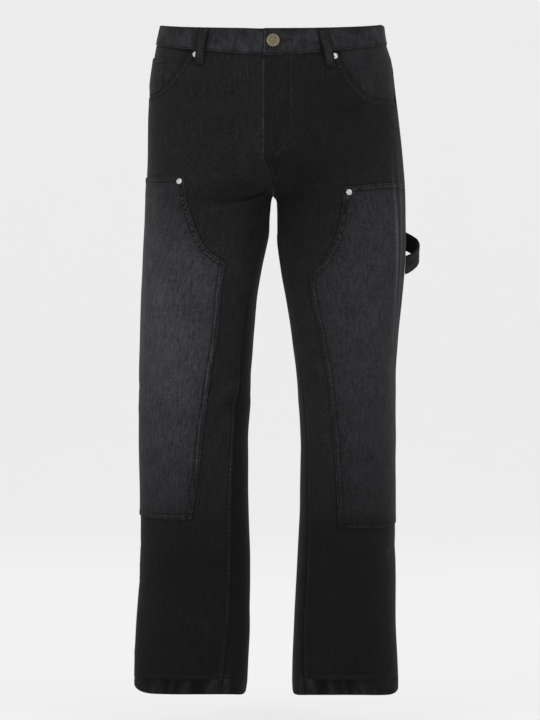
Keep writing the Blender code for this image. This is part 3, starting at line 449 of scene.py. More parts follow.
def column(table, names, name):
    i = names.index(name)
    return curve([row[0] for row in table], [row[i] for row in table])


def ellipse_girth(a, b):
    return math.pi * (3 * (a + b) - math.sqrt((3 * a + b) * (a + 3 * b)))


def half_depth(half_width, girth):
    """The other half axis of an ellipse of this girth."""
    low, high = 10.0, 200.0
    for _ in range(40):
        b = (low + high) / 2
        if ellipse_girth(half_width, b) > girth:
            high = b
        else:
            low = b
    return low


HIP = {name: column(HIPS, HIP_COLUMNS, name) for name in HIP_COLUMNS[1:]}
LEG = {name: column(LEGS, LEG_COLUMNS, name) for name in LEG_COLUMNS[1:]}
HEM_LIFT = {name: column(HEM_LIFTS, HEM_COLUMNS, name) for name in HEM_COLUMNS[1:]}
DEPTH = {}
for SIDE, SIDE_NAME in SIDES.items():
    OUT, IN, GIRTH = (LEG_COLUMNS.index(n) for n in (SIDE_NAME + "_out", SIDE_NAME + "_in", "girth"))
    DEPTH[SIDE] = curve([r[0] for r in LEGS], [half_depth((r[OUT] - r[IN]) / 2, r[GIRTH]) for r in LEGS])
TONE_AT = {
    (place_name, side): column(table, TONE_COLUMNS, SIDES[side])
    for place_name, table in (("front", FRONT_TONES), ("back", BACK_TONES), ("patch", PATCH_TONES))
    for side in SIDES
}


def rounded(v):
    return np.sign(v) * np.abs(v) ** ROUNDING


def ramp(t):
    t = np.clip(t, 0, 1)
    return t * t * (3 - 2 * t)


def bulge(reach):
    """The depth of a section, as a share, where it reaches this share of its half width."""
    return np.sqrt(1 - reach ** (2 / ROUNDING)) ** ROUNDING


def bell(distance, width):
    return np.exp(-((distance / width) ** 2))


def unit(vectors):
    return vectors / np.linalg.norm(vectors, axis=-1, keepdims=True)


def lengths(points):
    """How far along their line each of these points lies."""
    return np.concatenate([[0], np.cumsum(np.linalg.norm(np.diff(points, axis=0), axis=1))])


def fold_shape(around, z, at, height, run, spread, tilt, bend=0.0):
    """How much of a fold there is at each place, from 0 to 1."""
    along = around - at
    along = np.where(z < FORK, (along + 0.5) % 1.0 - 0.5, along) * ARC
    up = z - height
    turn = math.radians(tilt)
    a = along * math.cos(turn) + up * math.sin(turn)
    b = up * math.cos(turn) - along * math.sin(turn) - bend * (a / run) ** 2
    return bell(a, run) * bell(b, spread)


def fold_calm(around, z):
    edge = np.minimum(around, 1 - around)
    return np.where(z > FORK - 60, ramp(edge / 0.06), 1.0)


def fold_lift(side, around, z):
    total = sum(lift * fold_shape(around, z, *fold) for fold_side, *fold, lift in FOLDS if fold_side == side)
    return total * fold_calm(around, z)


def round_leg(start, seam, around):
    """The angle round a leg's section, from the inseam at its start past the side seam."""
    return np.where(
        around <= 0.5,
        start + (seam - start) * around / 0.5,
        seam + (2 * math.pi + start - seam) * (around - 0.5) / 0.5,
    )


def half_surface(side, around, z):
    """Points of the outer face of the cloth of one half, as in the model."""
    name = SIDES[side]
    low = np.minimum(z, FORK)
    high = np.maximum(z, FORK)
    out = np.where(z > FORK, HIP[name](high), LEG[name + "_out"](low))
    inner = LEG[name + "_in"](low)
    turn = np.radians(np.where(z > FORK, HIP["turn_" + name](high), LEG["turn_" + name](low)))
    start = np.radians(LEG["inseam_" + name](low))
    seam = math.pi - turn
    leg_angle = round_leg(start, seam, around)
    leg_x = (out + inner) / 2 - (out - inner) / 2 * rounded(np.cos(leg_angle))
    leg_y = LEG["middle"](low) - DEPTH[side](low) * rounded(np.sin(leg_angle))
    part = np.where(around <= 0.5, around / 0.5, (around - 0.5) / 0.5)
    hip_angle = np.where(
        around <= 0.5, math.pi / 2 + (seam - math.pi / 2) * part, seam + (1.5 * math.pi - seam) * part
    )
    middle = HIP["middle"](high)
    sine = rounded(np.sin(hip_angle))
    hip_x = -out * rounded(np.cos(hip_angle))
    hip_y = middle - np.where(sine > 0, HIP["front"](high) + middle, HIP["back"](high) - middle) * sine

    rise = RISE_FRONT + (RISE_BACK - RISE_FRONT) * around
    up = np.clip((z - FORK) / rise, 0, 1)
    seam_share = up * (2 - up)
    hips = ramp(up / RISE_THIGH)
    edge = np.minimum(around, 1 - around)
    x = leg_x + (hip_x - leg_x) * hips
    y = leg_y + (hip_y - leg_y) * hips

    share = seam_share + (hips - seam_share) * ramp(edge / INNER_BAND)
    thigh_reach = np.clip(np.abs(x - (out + inner) / 2) / ((out - inner) / 2), 0, 1)
    thigh_depth = DEPTH[side](low) * bulge(thigh_reach)
    hip_depth = np.where(around < 0.5, HIP["front"](high) + middle, HIP["back"](high) - middle)
    hip_depth = hip_depth * bulge(np.clip(x / out, 0, 1))
    depth = np.sqrt(thigh_depth**2 * (1 - share) + hip_depth**2 * share)
    saddle_y = middle - np.where(around < 0.5, depth, -depth)
    near = np.where(z > FORK, 1 - ramp((edge - SADDLE[0]) / (SADDLE[1] - SADDLE[0])), 0.0)
    y = y + (saddle_y - y) * near
    centre_x = (out + inner) / 2 * (1 - hips)
    away = np.hypot(x - centre_x, y - middle) + 1e-9
    lift = fold_lift(side, around, z)
    x = x + lift * (x - centre_x) / away
    y = y + lift * (y - middle) / away
    return np.stack([side * x, y, z + 0 * x], -1)


def place(side, around, z):
    """Points of the cloth; below 0 and above 1 the centre seams and the inseam are crossed."""
    around, z = (np.array(v, float) for v in np.broadcast_arrays(around, z))
    past = (around < 0) | (around > 1)
    below = z < FORK
    folded = np.where(around < 0, -around, np.where(around > 1, 2 - around, around))
    own = np.where(past & below, around % 1.0, folded)
    points = half_surface(side, own, z)
    swap = past & ~below
    if swap.any():
        points = np.where(swap[..., None], half_surface(-side, own, z), points)
    return points


def on_cloth(side, run):
    """Points of the cloth along a run of (round, z)."""
    return place(side, *np.array(run, float).T)


def outward(side, around, z):
    """Unit normals of the cloth, out of the body."""
    around, z = (np.array(v, float) for v in np.broadcast_arrays(around, z))
    step, drop = 0.008, 3.0
    above = z >= FORK
    top = np.where(above, z + drop, np.minimum(z + drop, FORK - 0.01))
    low = np.where(above, np.maximum(z - drop, FORK), z - drop)
    across = place(side, around + step, z) - place(side, around - step, z)
    up = place(side, around, top) - place(side, around, low)
    normal = np.cross(across, up) * side
    seam = above & ((np.abs(around) < 1e-6) | (np.abs(around - 1) < 1e-6))
    if seam.any():
        rise = place(side, around, z + 1.0) - place(side, around, z)
        front = np.where(around < 0.5, 1.0, -1.0)
        level = np.stack([0 * z, -rise[..., 2] * front, rise[..., 1] * front], -1)
        normal = np.where(seam[..., None], level, normal)
    return unit(normal)


def level_way(side, around, z):
    """Unit vectors over the cloth in the direction that round grows."""
    return unit(place(side, around + 0.004, z) - place(side, around - 0.004, z))


# Lines of the chart


def waist_top(side, around):
    """Height of the waistband's top edge, which dips a little at the side seams."""
    sine = np.sin(math.pi / 2 + math.pi * np.abs(around))
    dip = TOP_DIP[side] * bell(np.abs(around) - 0.5, TOP_DIP_WIDE)
    rise = (TOP_SIDE - TOP_FRONT) * (1 - np.maximum(sine, 0)) + TOP_RISE * np.maximum(-sine, 0)
    return TOP_FRONT + rise - dip


def hem_edge(side, around):
    """Height of the hem's lower edge, which hangs lower in front and lifts at the outer side."""
    start = math.radians(float(LEG["inseam_" + SIDES[side]](HEM)))
    seam = math.pi - math.radians(float(LEG["turn_" + SIDES[side]](HEM)))
    angle = round_leg(start, seam, around)
    outer = (1 - np.cos(angle)) / 2
    sine = np.sin(angle)
    return HEM + HEM_LIFT["outer_" + SIDES[side]](sine) * outer + HEM_LIFT["inner"](sine) * (1 - outer)


def waist_seam(side, around):
    sine = np.sin(math.pi / 2 + math.pi * np.abs(around))
    front = SEAM_FRONT + (SEAM_SIDE - SEAM_FRONT) * (1 - np.maximum(sine, 0)) ** SEAM_BEND
    return front + (SEAM_BACK - SEAM_SIDE) * np.maximum(-sine, 0)


def band_level(side, around, share):
    """Height at this share of the waistband, from its seam to its top edge."""
    low = waist_seam(side, around)
    return low + share * (waist_top(side, around) - low)


def yoke_seam(around):
    return YOKE_SIDE + (YOKE_BACK - YOKE_SIDE) * np.clip((around - 0.5) / 0.5, 0, 1)


def fly_line(z):
    return -FLY_EDGE * ramp((z - FORK) / (FLY_END - FORK))


def round_at(side, x, z, back=False):
    """round where the front, or the back, is x from the middle at this height."""
    low, high = (0.5, 1.0) if back else (0.0, 0.5)
    for _ in range(30):
        middle = (low + high) / 2
        far = side * place(side, middle, z)[0] < x
        if far != back:
            low = middle
        else:
            high = middle
    return (low + high) / 2


def chart_point(side, x, z, back=False):
    if x is None:
        return (0.5, float(z))
    if z is None:
        around = round_at(side, x, SEAM_SIDE, back)
        for _ in range(4):
            around = round_at(side, x, float(waist_seam(side, around)), back)
        return (around, float(waist_seam(side, around)))
    return (round_at(side, x, z, back), float(z))


def smooth_run(points, step):
    """Points along a smooth line through these chart points, about step apart."""
    flat = [Vector((c * ARC, z)) for c, z in points]
    if len(flat) == 2:
        count = max(1, round((flat[1] - flat[0]).length / step))
        made = [flat[0].lerp(flat[1], k / count) for k in range(count + 1)]
        return [(p.x / ARC, p.y) for p in made]
    ends = [flat[0] * 2 - flat[1]] + flat + [flat[-1] * 2 - flat[-2]]
    made = [flat[0]]
    for before, a, b, after in zip(ends, ends[1:], ends[2:], ends[3:]):
        count = max(1, round((b - a).length / step))
        for k in range(1, count + 1):
            t = k / count
            made.append(
                0.5 * (2 * a + (b - before) * t + (2 * before - 5 * a + 4 * b - after) * t * t
                       + (3 * a - before - 3 * b + after) * t**3)
            )
    return [(p.x / ARC, p.y) for p in made]


def path(side, run, back=False, step=FINE):
    """A line of the chart through points given by x and z. Straight edges stay straight."""
    if len(run) == 2 and None not in (*run[0], *run[1]):
        count = max(1, round(math.dist(*run) / 18.0))
        run = [tuple(a + (b - a) * k / count for a, b in zip(*run)) for k in range(count + 1)]
    return smooth_run([chart_point(side, x, z, back) for x, z in run], step)


def level_run(rule, start, end):
    count = max(2, round(abs(end - start) * ARC / FINE))
    return [(float(c), float(rule(c))) for c in np.linspace(start, end, count + 1)]


def seam_run(around, top, low):
    count = max(2, round(abs(top - low) / FINE))
    return [(around, float(z)) for z in np.linspace(top, low, count + 1)]


def waist_run(side, start, end):
    return level_run(lambda c: waist_seam(side, c), start, end)


def hem_run(side, start, end):
    return level_run(lambda c: hem_edge(side, c), start, end)


def join_runs(*runs):
    """One closed outline from runs that follow each other."""
    far = lambda a, b: math.dist((a[0] * ARC, a[1]), (b[0] * ARC, b[1]))
    made = []
    for point in (p for run in runs for p in run):
        if not made or far(made[-1], point) > 0.05:
            made.append(point)
    return made[:-1] if far(made[0], made[-1]) <= 0.05 else made


def dense(side, run):
    """Chart points along a run, close together in space."""
    run = np.array(run, float)
    far = lengths(on_cloth(side, run))
    at = np.linspace(0, far[-1], max(2, int(far[-1] / ROW_POINTS)) + 1)
    return np.stack([np.interp(at, far, run[:, k]) for k in range(2)], -1)


def beside(side, run, away):
    """The run moved sideways over the cloth by so many millimetres, to the left of its way from outside."""
    c, z = run[:, 0], run[:, 1]
    here = place(side, c, z)
    by_c = (place(side, c + 0.002, z) - here) / 0.002
    by_z = (place(side, c, z - 0.5) - here) / -0.5
    left = np.cross(outward(side, c, z), np.gradient(here, axis=0))
    left = left / (np.linalg.norm(left, axis=1, keepdims=True) + 1e-9)
    cc, cz, zz = (by_c * by_c).sum(1), (by_c * by_z).sum(1), (by_z * by_z).sum(1)
    pc, pz = (by_c * left).sum(1), (by_z * left).sum(1)
    det = cc * zz - cz * cz
    by_round = np.clip((pc * zz - pz * cz) / det, -BESIDE_ROUND, BESIDE_ROUND)
    by_height = np.clip((pz * cc - pc * cz) / det, -BESIDE_HEIGHT, BESIDE_HEIGHT)
    return np.stack([c + away * by_round, z + away * by_height], -1)


# Noise and relief


def lattice_values(cells, seed):
    n = (cells * np.array([73856093, 19349663, 83492791])).sum(-1) + seed * 2654435
    n = (n ^ (n >> 13)) * 1274126177 & 0x7FFFFFFF
    return (n ^ (n >> 16)) % 65536 / 32768.0 - 1.0


def noise(points, size, seed):
    """Smooth noise from -1 to 1 at points in space, with lumps of this size."""
    p = points / size + 500.0
    base = np.floor(p).astype(np.int64)
    t = ramp(p - base)
    total = 0.0
    for corner in np.ndindex(2, 2, 2):
        weight = np.prod(np.where(np.array(corner) == 1, t, 1 - t), axis=-1)
        total = total + weight * lattice_values(base + np.array(corner), seed)
    return total


def crease_parts(side, around, z):
    """Lift of the small creases, and grey levels: lighter on rubbed ridges, as wear, darker in troughs, as
    painted shade.
    """
    lift, wear = np.zeros(len(z)), np.zeros(len(z))
    # The last column lightens rubbed ridges, as wear, and darkens troughs, as painted shade.
    for crease_side, at, height, run, spread, tilt, up, bend, worn in CREASES:
        if crease_side == side:
            shape = fold_shape(around, z, at, height, run, spread, tilt, bend)
            lift += up * shape
            wear += worn * shape
    calm = fold_calm(around, z)
    return lift * calm, wear * calm


def relief(side, around, z, points, sewn):
    """Fine lift of the cloth in millimetres, and grey levels: wear on ridges and in the hem's roping, painted
    shade in troughs and under the hem's edge.
    """
    lift, wear = crease_parts(side, around, z)
    for size, height, seed in UNDULATION:
        lift = lift + height * noise(points, size, seed)
    lift = lift + bell(sewn, PUCKER_REACH) * (PUCKER * noise(points, 8.5, 11) - 0.12)
    edge = np.minimum(around, 1 - around)
    lift = lift * np.where(z > FORK - 4, ramp(edge / 0.02), 1.0)
    in_hem = ramp((HEM_LINE + 1.0 - z) / 4.0)
    slanted = np.stack([around * ARC + 0.2 * (z - HEM_LINE), 0.25 * z, np.zeros(len(z))], -1)
    wave = noise(slanted, ROPE_STEP, 14) + 0.7 * noise(slanted, 2.6 * ROPE_STEP, 15)
    fold = bell(z - HEM_LINE - 2.6, 2.2) - 0.9 * bell(z - HEM_LINE + 2.0, 1.8)
    fold = fold * (0.6 + 0.6 * noise(points, 26.0, 16))
    return lift + in_hem * ROPE * wave + 0.25 * fold, wear + in_hem * ROPE_WEAR * wave + 14.0 * fold


def beads(along, edge, sewn, points):
    """Lift and wear between the rows of a double seam, in beads along the piece's edge."""
    band = bell(edge - BEAD_AT, BEAD_WIDE) * ramp((5.5 - sewn) / 2.0)
    wave = np.sin(2 * math.pi * along / BEAD_STEP + 2.6 * noise(points, 26.0, 12))
    shape = band * (0.55 + 0.75 * wave) * (0.8 + 0.5 * noise(points, 34.0, 13))
    return BEAD * shape, BEAD_WEAR * shape


def band_shade(side, around, z):
    """Grey levels lost under the waistband."""
    return SEAM_SHADE * bell(waist_seam(side, around) - z, SHADE_WIDE)


def panel_tone(side, points, around, z):
    """Grey level of a panel's finished cloth, with painted shade under the waistband and along the seams of the
    legs.
    """
    front, back = (TONE_AT[face, side](z) for face in ("front", "back"))
    behind = ramp((around - 0.46) / 0.06)
    level = front + (back - front) * behind
    x = side * points[:, 0]
    # The spots: wash, painted highlights at the shins' edges, and painted shade on the inner thighs, near the
    # fork and beside the back inseam.
    for spot_side, is_back, spot_x, spot_z, wide, tall, levels in WASH_LIGHT_AND_SHADE_SPOTS:
        if spot_side == side:
            share = behind if is_back else 1 - behind
            level = level + levels * bell(x - spot_x, wide) * bell(z - spot_z, tall) * share
    inseam = bell(np.minimum(around, 1 - around) * ARC, INSEAM_WIDE) * (z < FORK)
    return level - band_shade(side, around, z) - SEAM_SHADE * inseam


def from_patch(side, points):
    """Distances from the free edges of a side's patch."""
    return distances(points, np.concatenate([on_cloth(side, run) for run in patch_runs(side)]))


def front_tone(side, points, around, z):
    """The front's tone, with painted shade along the outside of its patch."""
    level = panel_tone(side, points, around, z) - SEAM_SHADE * bell(from_patch(side, points), PATCH_SHADE_WIDE)
    if side == 1:
        far = distances(points, on_cloth(side, fly_run(FLY_PUCKER)))
        level = level + (7.0 + 9.0 * noise(points, 9.0, 17)) * bell(far, 2.2)
    return level


def nearest(points, marks):
    """From each point, the number of the nearest mark and the distance to it."""
    tree = KDTree(len(marks))
    for i, mark in enumerate(marks):
        tree.insert(mark, i)
    tree.balance()
    found = [tree.find(p) for p in points]
    return np.array([f[1] for f in found]), np.array([f[2] for f in found])


def distances(points, marks):
    return nearest(points, marks)[1]


def chart_distances(places, marks):
    """Distances over the chart, in millimetres."""
    return distances(*([(c * ARC, z, 0.0) for c, z in some] for some in (places, marks)))


# Meshes


def within(outline, c, z):
    """Which chart points lie inside an outline."""
    inside = np.zeros(len(c), bool)
    o = np.array(outline)
    for (c1, z1), (c2, z2) in zip(o, np.roll(o, -1, axis=0)):
        if z1 != z2:
            inside ^= ((z1 > z) != (z2 > z)) & (c < c1 + (c2 - c1) * (z - z1) / (z2 - z1))
    return inside


def near_points(points, marks, reach):
    """Which chart points lie within reach of the marks, by a coarse raster."""
    cell = reach / 2
    steps = range(-2, 3)
    seen = {(int(u // cell) + i, int(v // cell) + j) for u, v in marks for i in steps for j in steps}
    return np.array([(int(u // cell), int(v // cell)) in seen for u, v in points])


def turning(chart, faces):
    """Twice each triangle's area in square millimetres, below 0 where it turns clockwise."""
    a, b, c = (chart[faces[:, k]] * (ARC, 1.0) for k in range(3))
    return (b[:, 0] - a[:, 0]) * (c[:, 1] - a[:, 1]) - (c[:, 0] - a[:, 0]) * (b[:, 1] - a[:, 1])


def triangulate(outline, lines, coarse):
    """Chart points and triangles of an outline, finer along its edge and along the lines."""
    o = np.array(outline)
    marks = np.concatenate([o, *lines])
    low, high = o.min(0), o.max(0)
    made = []
    for step, close in ((coarse, False), (FINE, True)):
        c, z = np.meshgrid(
            np.arange(math.floor(low[0] * ARC / step) * step, high[0] * ARC, step) / ARC,
            np.arange(math.floor(low[1] / step) * step, high[1], step),
        )
        c, z = c.ravel(), z.ravel() + 0.29 * step
        kept = near_points(np.stack([c * ARC, z], -1), marks * (ARC, 1.0), FINE_REACH) == close
        kept = kept & within(outline, c, z)
        made.append(np.stack([c[kept], z[kept]], -1))
    free = np.concatenate(made)
    free = free[chart_distances(free, marks) > 0.45 * FINE]
    if lines:
        rows = np.concatenate(lines)
        rows = rows[within(outline, *rows.T)]
        free = np.concatenate([free, rows[chart_distances(rows, o) > 0.9]])
    flat = [Vector((c * ARC, z)) for c, z in (*outline, *free)]
    edges = [(k, (k + 1) % len(o)) for k in range(len(o))]
    verts, _, faces, *_ = delaunay_2d_cdt(flat, edges, [], 0, 0.01)
    chart = np.array([(v.x / ARC, v.y) for v in verts])
    faces = np.array([tuple(f) for f in faces])
    faces = faces[(np.abs(turning(chart, faces)) > 0.1) & within(outline, *chart[faces].mean(1).T)]
    used, number = np.unique(faces, return_inverse=True)
    return chart[used], number.reshape(faces.shape)


def add_to_scene(name, data):
    made = bpy.data.objects.new(name, data)
    bpy.context.scene.collection.objects.link(made)
    return made


def add_object(name, points, faces, look, floats=None, smooth=50.0):
    mesh = bpy.data.meshes.new(name)
    mesh.from_pydata([tuple(p) for p in points], [], [tuple(int(i) for i in f) for f in faces])
    mesh.materials.append(look)
    for label, values in (floats or {}).items():
        kind, part = ("FLOAT_VECTOR", "vector") if np.ndim(values) == 2 else ("FLOAT", "value")
        made = mesh.attributes.new(label, kind, "POINT")
        made.data.foreach_set(part, np.asarray(values, np.float32).ravel())
    mesh.shade_smooth()
    mesh.set_sharp_from_angle(angle=math.radians(smooth))
    made = add_to_scene(name, mesh)
    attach(made, BODY)
    return made


def heights(rule, around, z):
    return rule(around, z) if callable(rule) else np.full(len(z), float(rule))


def to_linear(level):
    """The cloth's own colour, for a grey level from 0 to 255 in the studio's light."""
    v = np.clip(level, 0, 255) / 255.0
    return np.where(v <= 0.04045, v / 12.92, ((v + 0.055) / 1.055) ** 2.4) / STUDIO_LIGHT


def shell(name, side, outline, look, node, outer, inner, marks, sewn_marks, tone,
          folded=False, trim=SEAM, coarse=COARSE, calm=None):
    """A thin closed wall of cloth over an outline of the chart, in place of a node of the model. outer and
    inner are its faces' heights over the cloth's surface, as numbers or functions of (round, z). calm tells
    where the edge isn't worn."""
    chart, faces = triangulate(outline, marks, coarse)
    around, z = chart[:, 0], chart[:, 1]
    base = place(side, around, z)
    normal = outward(side, around, z)
    turned = np.where((turning(chart, faces) * side > 0)[:, None], faces, faces[:, [0, 2, 1]])
    pairs = np.concatenate([turned[:, [0, 1]], turned[:, [1, 2]], turned[:, [2, 0]]])
    seen = {tuple(p) for p in pairs.tolist()}
    border = [p for p in seen if (p[1], p[0]) not in seen]
    pulls = {}
    for i, j in border:
        for k in (i, j):
            pulls.setdefault(k, []).append(unit(np.cross(normal[k], base[j] - base[i])))
    for k, found in pulls.items():
        total = sum(found)
        length = np.linalg.norm(total)
        if length > 0.2:
            base[k] = base[k] + total / length * trim * min(len(found) / length, 1.8)
    rim = on_cloth(side, outline)
    steps = np.stack([rim, (rim + np.roll(rim, -1, axis=0)) / 2], 1).reshape(-1, 3)
    number, edge = nearest(base, steps)
    sewn = distances(base, sewn_marks) if sewn_marks is not None else np.full(len(z), 99.0)
    lift, wear = relief(side, around, z, base, sewn)
    bead_lift, bead_wear = beads(lengths(steps)[number], edge, sewn, base)
    lift, wear = lift + bead_lift, wear + bead_wear
    top = heights(outer, around, z) + lift - EDGE_DROP * np.exp(-edge / 1.2)
    if folded:
        top = top + FOLDED_RISE * ramp((FOLDED_EDGE + 2 - edge) / 3)
    # The grey levels from the relief, and its lift, lighten raised cloth, as wear, and darken sunk cloth, as
    # painted shade.
    level = tone(side, base, around, z) + wear + RIDGE_WEAR_AND_DIP_SHADE * lift
    outside = base + normal * top[:, None]
    inside = base + normal * (heights(inner, around, z) + lift)[:, None]
    count = len(z)
    solid = [tuple(f) for f in turned.tolist()]
    solid += [(f[0] + count, f[2] + count, f[1] + count) for f in turned.tolist()]
    solid += [(j, i, i + count, j + count) for i, j in sorted(border)]
    twice = lambda v: np.concatenate([v, v])
    made = add_object(name, np.concatenate([outside, inside]) * MM, solid, look, {
        "tone": twice(to_linear(level)),
        "edge": twice(edge + (9.0 * calm(around, z) if calm else 0.0)),
        "sewn": twice(sewn),
        "inner": np.repeat([0.0, 1.0], count),
        "chart": twice(np.stack([around * ARC * side, z, np.zeros(count)], -1)),
    })
    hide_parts(node)


# Outlines of the cut pieces


def mouth_run(side, step=FINE):
    return path(side, MOUTHS[side], step=step)


def tuck_run(side):
    """The facing's lower edge, under the front."""
    run = mouth_run(side, 16.0)
    made = []
    for before, point, after in zip(run[:1] + run, run, run[1:] + run[-1:]):
        along = Vector(((after[0] - before[0]) * ARC, after[1] - before[1])).normalized()
        made.append((point[0] + along.y * TUCK / ARC, point[1] - along.x * TUCK))
    made[0] = (made[0][0], float(waist_seam(side, made[0][0])))
    made[-1] = (0.5, made[-1][1])
    return smooth_run(made, FINE)


def front_outline(side):
    mouth = mouth_run(side)
    fly = [(side * float(fly_line(z)), z) for _, z in seam_run(0.0, float(waist_seam(side, FLY_EDGE)), FORK)]
    return join_runs(
        waist_run(side, mouth[0][0], fly[0][0]), fly, seam_run(0.0, FORK, float(hem_edge(side, 0.0))),
        hem_run(side, 0.0, 0.5), seam_run(0.5, float(hem_edge(side, 0.5)), mouth[-1][1]), mouth[::-1],
    )


def patch_runs(side):
    return [path(side, run) for run in PATCHES[side]]


def patch_outline(side):
    runs = patch_runs(side)
    return join_runs(*runs, seam_run(0.5, runs[-1][-1][1], runs[0][0][1]))


def back_outline(side):
    return join_runs(
        level_run(yoke_seam, 0.5, 1.0), seam_run(1.0, YOKE_BACK, FORK),
        seam_run(1.0, FORK, float(hem_edge(side, 1.0))), hem_run(side, 1.0, 0.5),
        seam_run(0.5, float(hem_edge(side, 0.5)), YOKE_SIDE),
    )


def yoke_outline(side):
    middle, outer = (float(waist_seam(side, c)) for c in (1.0, 0.5))
    return join_runs(
        waist_run(side, 0.5, 1.0), seam_run(1.0, middle, YOKE_BACK), level_run(yoke_seam, 1.0, 0.5),
        seam_run(0.5, YOKE_SIDE, outer),
    )


def facing_outline(side):
    tuck = tuck_run(side)
    return join_runs(
        waist_run(side, 0.5, tuck[0][0]), tuck, seam_run(0.5, tuck[-1][1], float(waist_seam(side, 0.5))),
    )


def fly_run(away):
    """The curved line that holds the fly's facing, so far in from its outer row."""
    x = 31.5 - away
    return path(1, ((x, -46.0), (x, -100.0), (x, -158.0), (x - 8.5, -186 + away), (x - 21.0, -202 + away)))


def coin_outline(side):
    top = path(side, COIN_TOP)
    inner = path(side, COIN_INNER)
    mouth = [(c, z + COIN_LIFT) for c, z in mouth_run(side) if c > inner[-1][0] + 0.006]
    return join_runs(top[::-1], inner, mouth, seam_run(0.5, mouth[-1][1], top[-1][1]))


def pocket_runs(side):
    return [path(side, run, back=True) for run in BACK_POCKET]


# Sewing


class Sewing:
    """Rows of stitches and where they lie, kept until they are made into one mesh for each piece."""

    def __init__(self):
        self.rows = {}
        self.marks = {}

    def row(self, group, side, run, away, height):
        """A row beside a run. height is that of the cloth under it, as a number or a function."""
        line = dense(side, run)
        if away:
            line = beside(side, line, away)
        self.rows.setdefault(group, []).append((side, line, height))
        self.marks.setdefault(group, []).append(on_cloth(side, line))

    def near(self, *groups):
        return np.concatenate([marks for group in groups for marks in self.marks.get(group, [])])


STITCH_RINGS = ((-0.5, 0.0), (-0.36, 0.8), (0.0, 1.0), (0.36, 0.8), (0.5, 0.0))


def join_rings(rings, sides):
    """Faces between rings of point numbers. A ring of one point is a tip."""
    faces = []
    for low, high in zip(rings, rings[1:]):
        for k in range(sides):
            n = (k + 1) % sides
            if len(low) == 1:
                faces.append((low[0], high[n], high[k]))
            elif len(high) == 1:
                faces.append((low[k], low[n], high[0]))
            else:
                faces.append((low[k], low[n], high[n], high[k]))
    return faces


def add_stitches(name, rows):
    """One mesh of small rounded stitches. A row holds their middles, directions, normals and length."""
    points, faces = [], []
    for centres, ahead, normal, long in rows:
        for centre, along, aside, up in zip(centres, ahead, np.cross(normal, ahead), normal):
            rings = []
            for share, size in STITCH_RINGS:
                middle = centre + along * share * long
                rings.append(list(range(len(points), len(points) + (4 if size else 1))))
                if size:
                    wide, high = aside * STITCH_WIDE / 2 * size, up * STITCH_HIGH / 2 * size
                    points += [middle + wide, middle + high, middle - wide, middle - high]
                else:
                    points.append(middle - up * STITCH_HIGH * 0.35)
            faces += join_rings(rings, 4)
    made = add_object(name, np.array(points) * MM, faces, LOOKS["thread"], smooth=180.0)


def sew(group):
    """Makes one mesh of a group's stitches."""
    rows = []
    for side, line, height in SEWING.rows[group]:
        far = lengths(on_cloth(side, line))
        count = int(far[-1] / STITCH_PITCH)
        if count < 2:
            continue
        at = (np.arange(count) + 0.5) * far[-1] / count
        c, z = (np.interp(at, far, line[:, k]) for k in range(2))
        here = place(side, c, z)
        normal = outward(side, c, z)
        ahead = np.gradient(here, axis=0)
        ahead = unit(ahead - normal * (ahead * normal).sum(1, keepdims=True))
        lift, _ = relief(side, c, z, here, np.zeros(count))
        centres = here + normal * (heights(height, c, z) + lift + 0.1)[:, None]
        rows.append((centres, ahead, normal, STITCH_LONG))
    add_stitches("thread_" + group, rows)


# Materials


def node_material(name):
    made = bpy.data.materials.new(name)
    made.use_nodes = True
    return made, made.node_tree, made.node_tree.nodes["Principled BSDF"]


def set_inputs(tree, node, inputs):
    """Gives each input its value, or a link where the value is another node's socket."""
    for name, value in inputs.items():
        if isinstance(value, bpy.types.NodeSocket):
            tree.links.new(value, node.inputs[name])
        else:
            node.inputs[name].default_value = value


def add_node(tree, kind, inputs, **settings):
    made = tree.nodes.new("ShaderNode" + kind)
    for name, value in settings.items():
        setattr(made, name, value)
    set_inputs(tree, made, inputs)
    return made


def math_node(tree, kind, *values):
    return add_node(tree, "Math", dict(enumerate(values)), operation=kind).outputs[0]


def attribute(tree, name, output="Fac"):
    return add_node(tree, "Attribute", {}, attribute_name=name).outputs[output]


def object_place(tree):
    return add_node(tree, "TexCoord", {}).outputs["Object"]


def grain(tree, vector, scale, detail=2.0, rough=0.6, stretch=None):
    if stretch:
        vector = add_node(tree, "Mapping", {"Vector": vector, "Scale": stretch}).outputs["Vector"]
    inputs = {"Vector": vector, "Scale": scale, "Detail": detail, "Roughness": rough}
    return add_node(tree, "TexNoise", inputs).outputs[0]


def ramp_node(tree, value, low, high, to_low=0.0, to_high=1.0):
    inputs = {"Value": value, "From Min": low, "From Max": high, "To Min": to_low, "To Max": to_high}
    return add_node(tree, "MapRange", inputs, interpolation_type="SMOOTHSTEP").outputs["Result"]


def mixed(tree, factor, dark, light):
    inputs = {"Factor": factor, "A": (*dark, 1.0), "B": (*light, 1.0)}
    return add_node(tree, "Mix", inputs, data_type="RGBA").outputs["Result"]


def bumped(tree, height, strength, distance):
    inputs = {"Strength": strength, "Distance": distance, "Height": height}
    return add_node(tree, "Bump", inputs).outputs["Normal"]


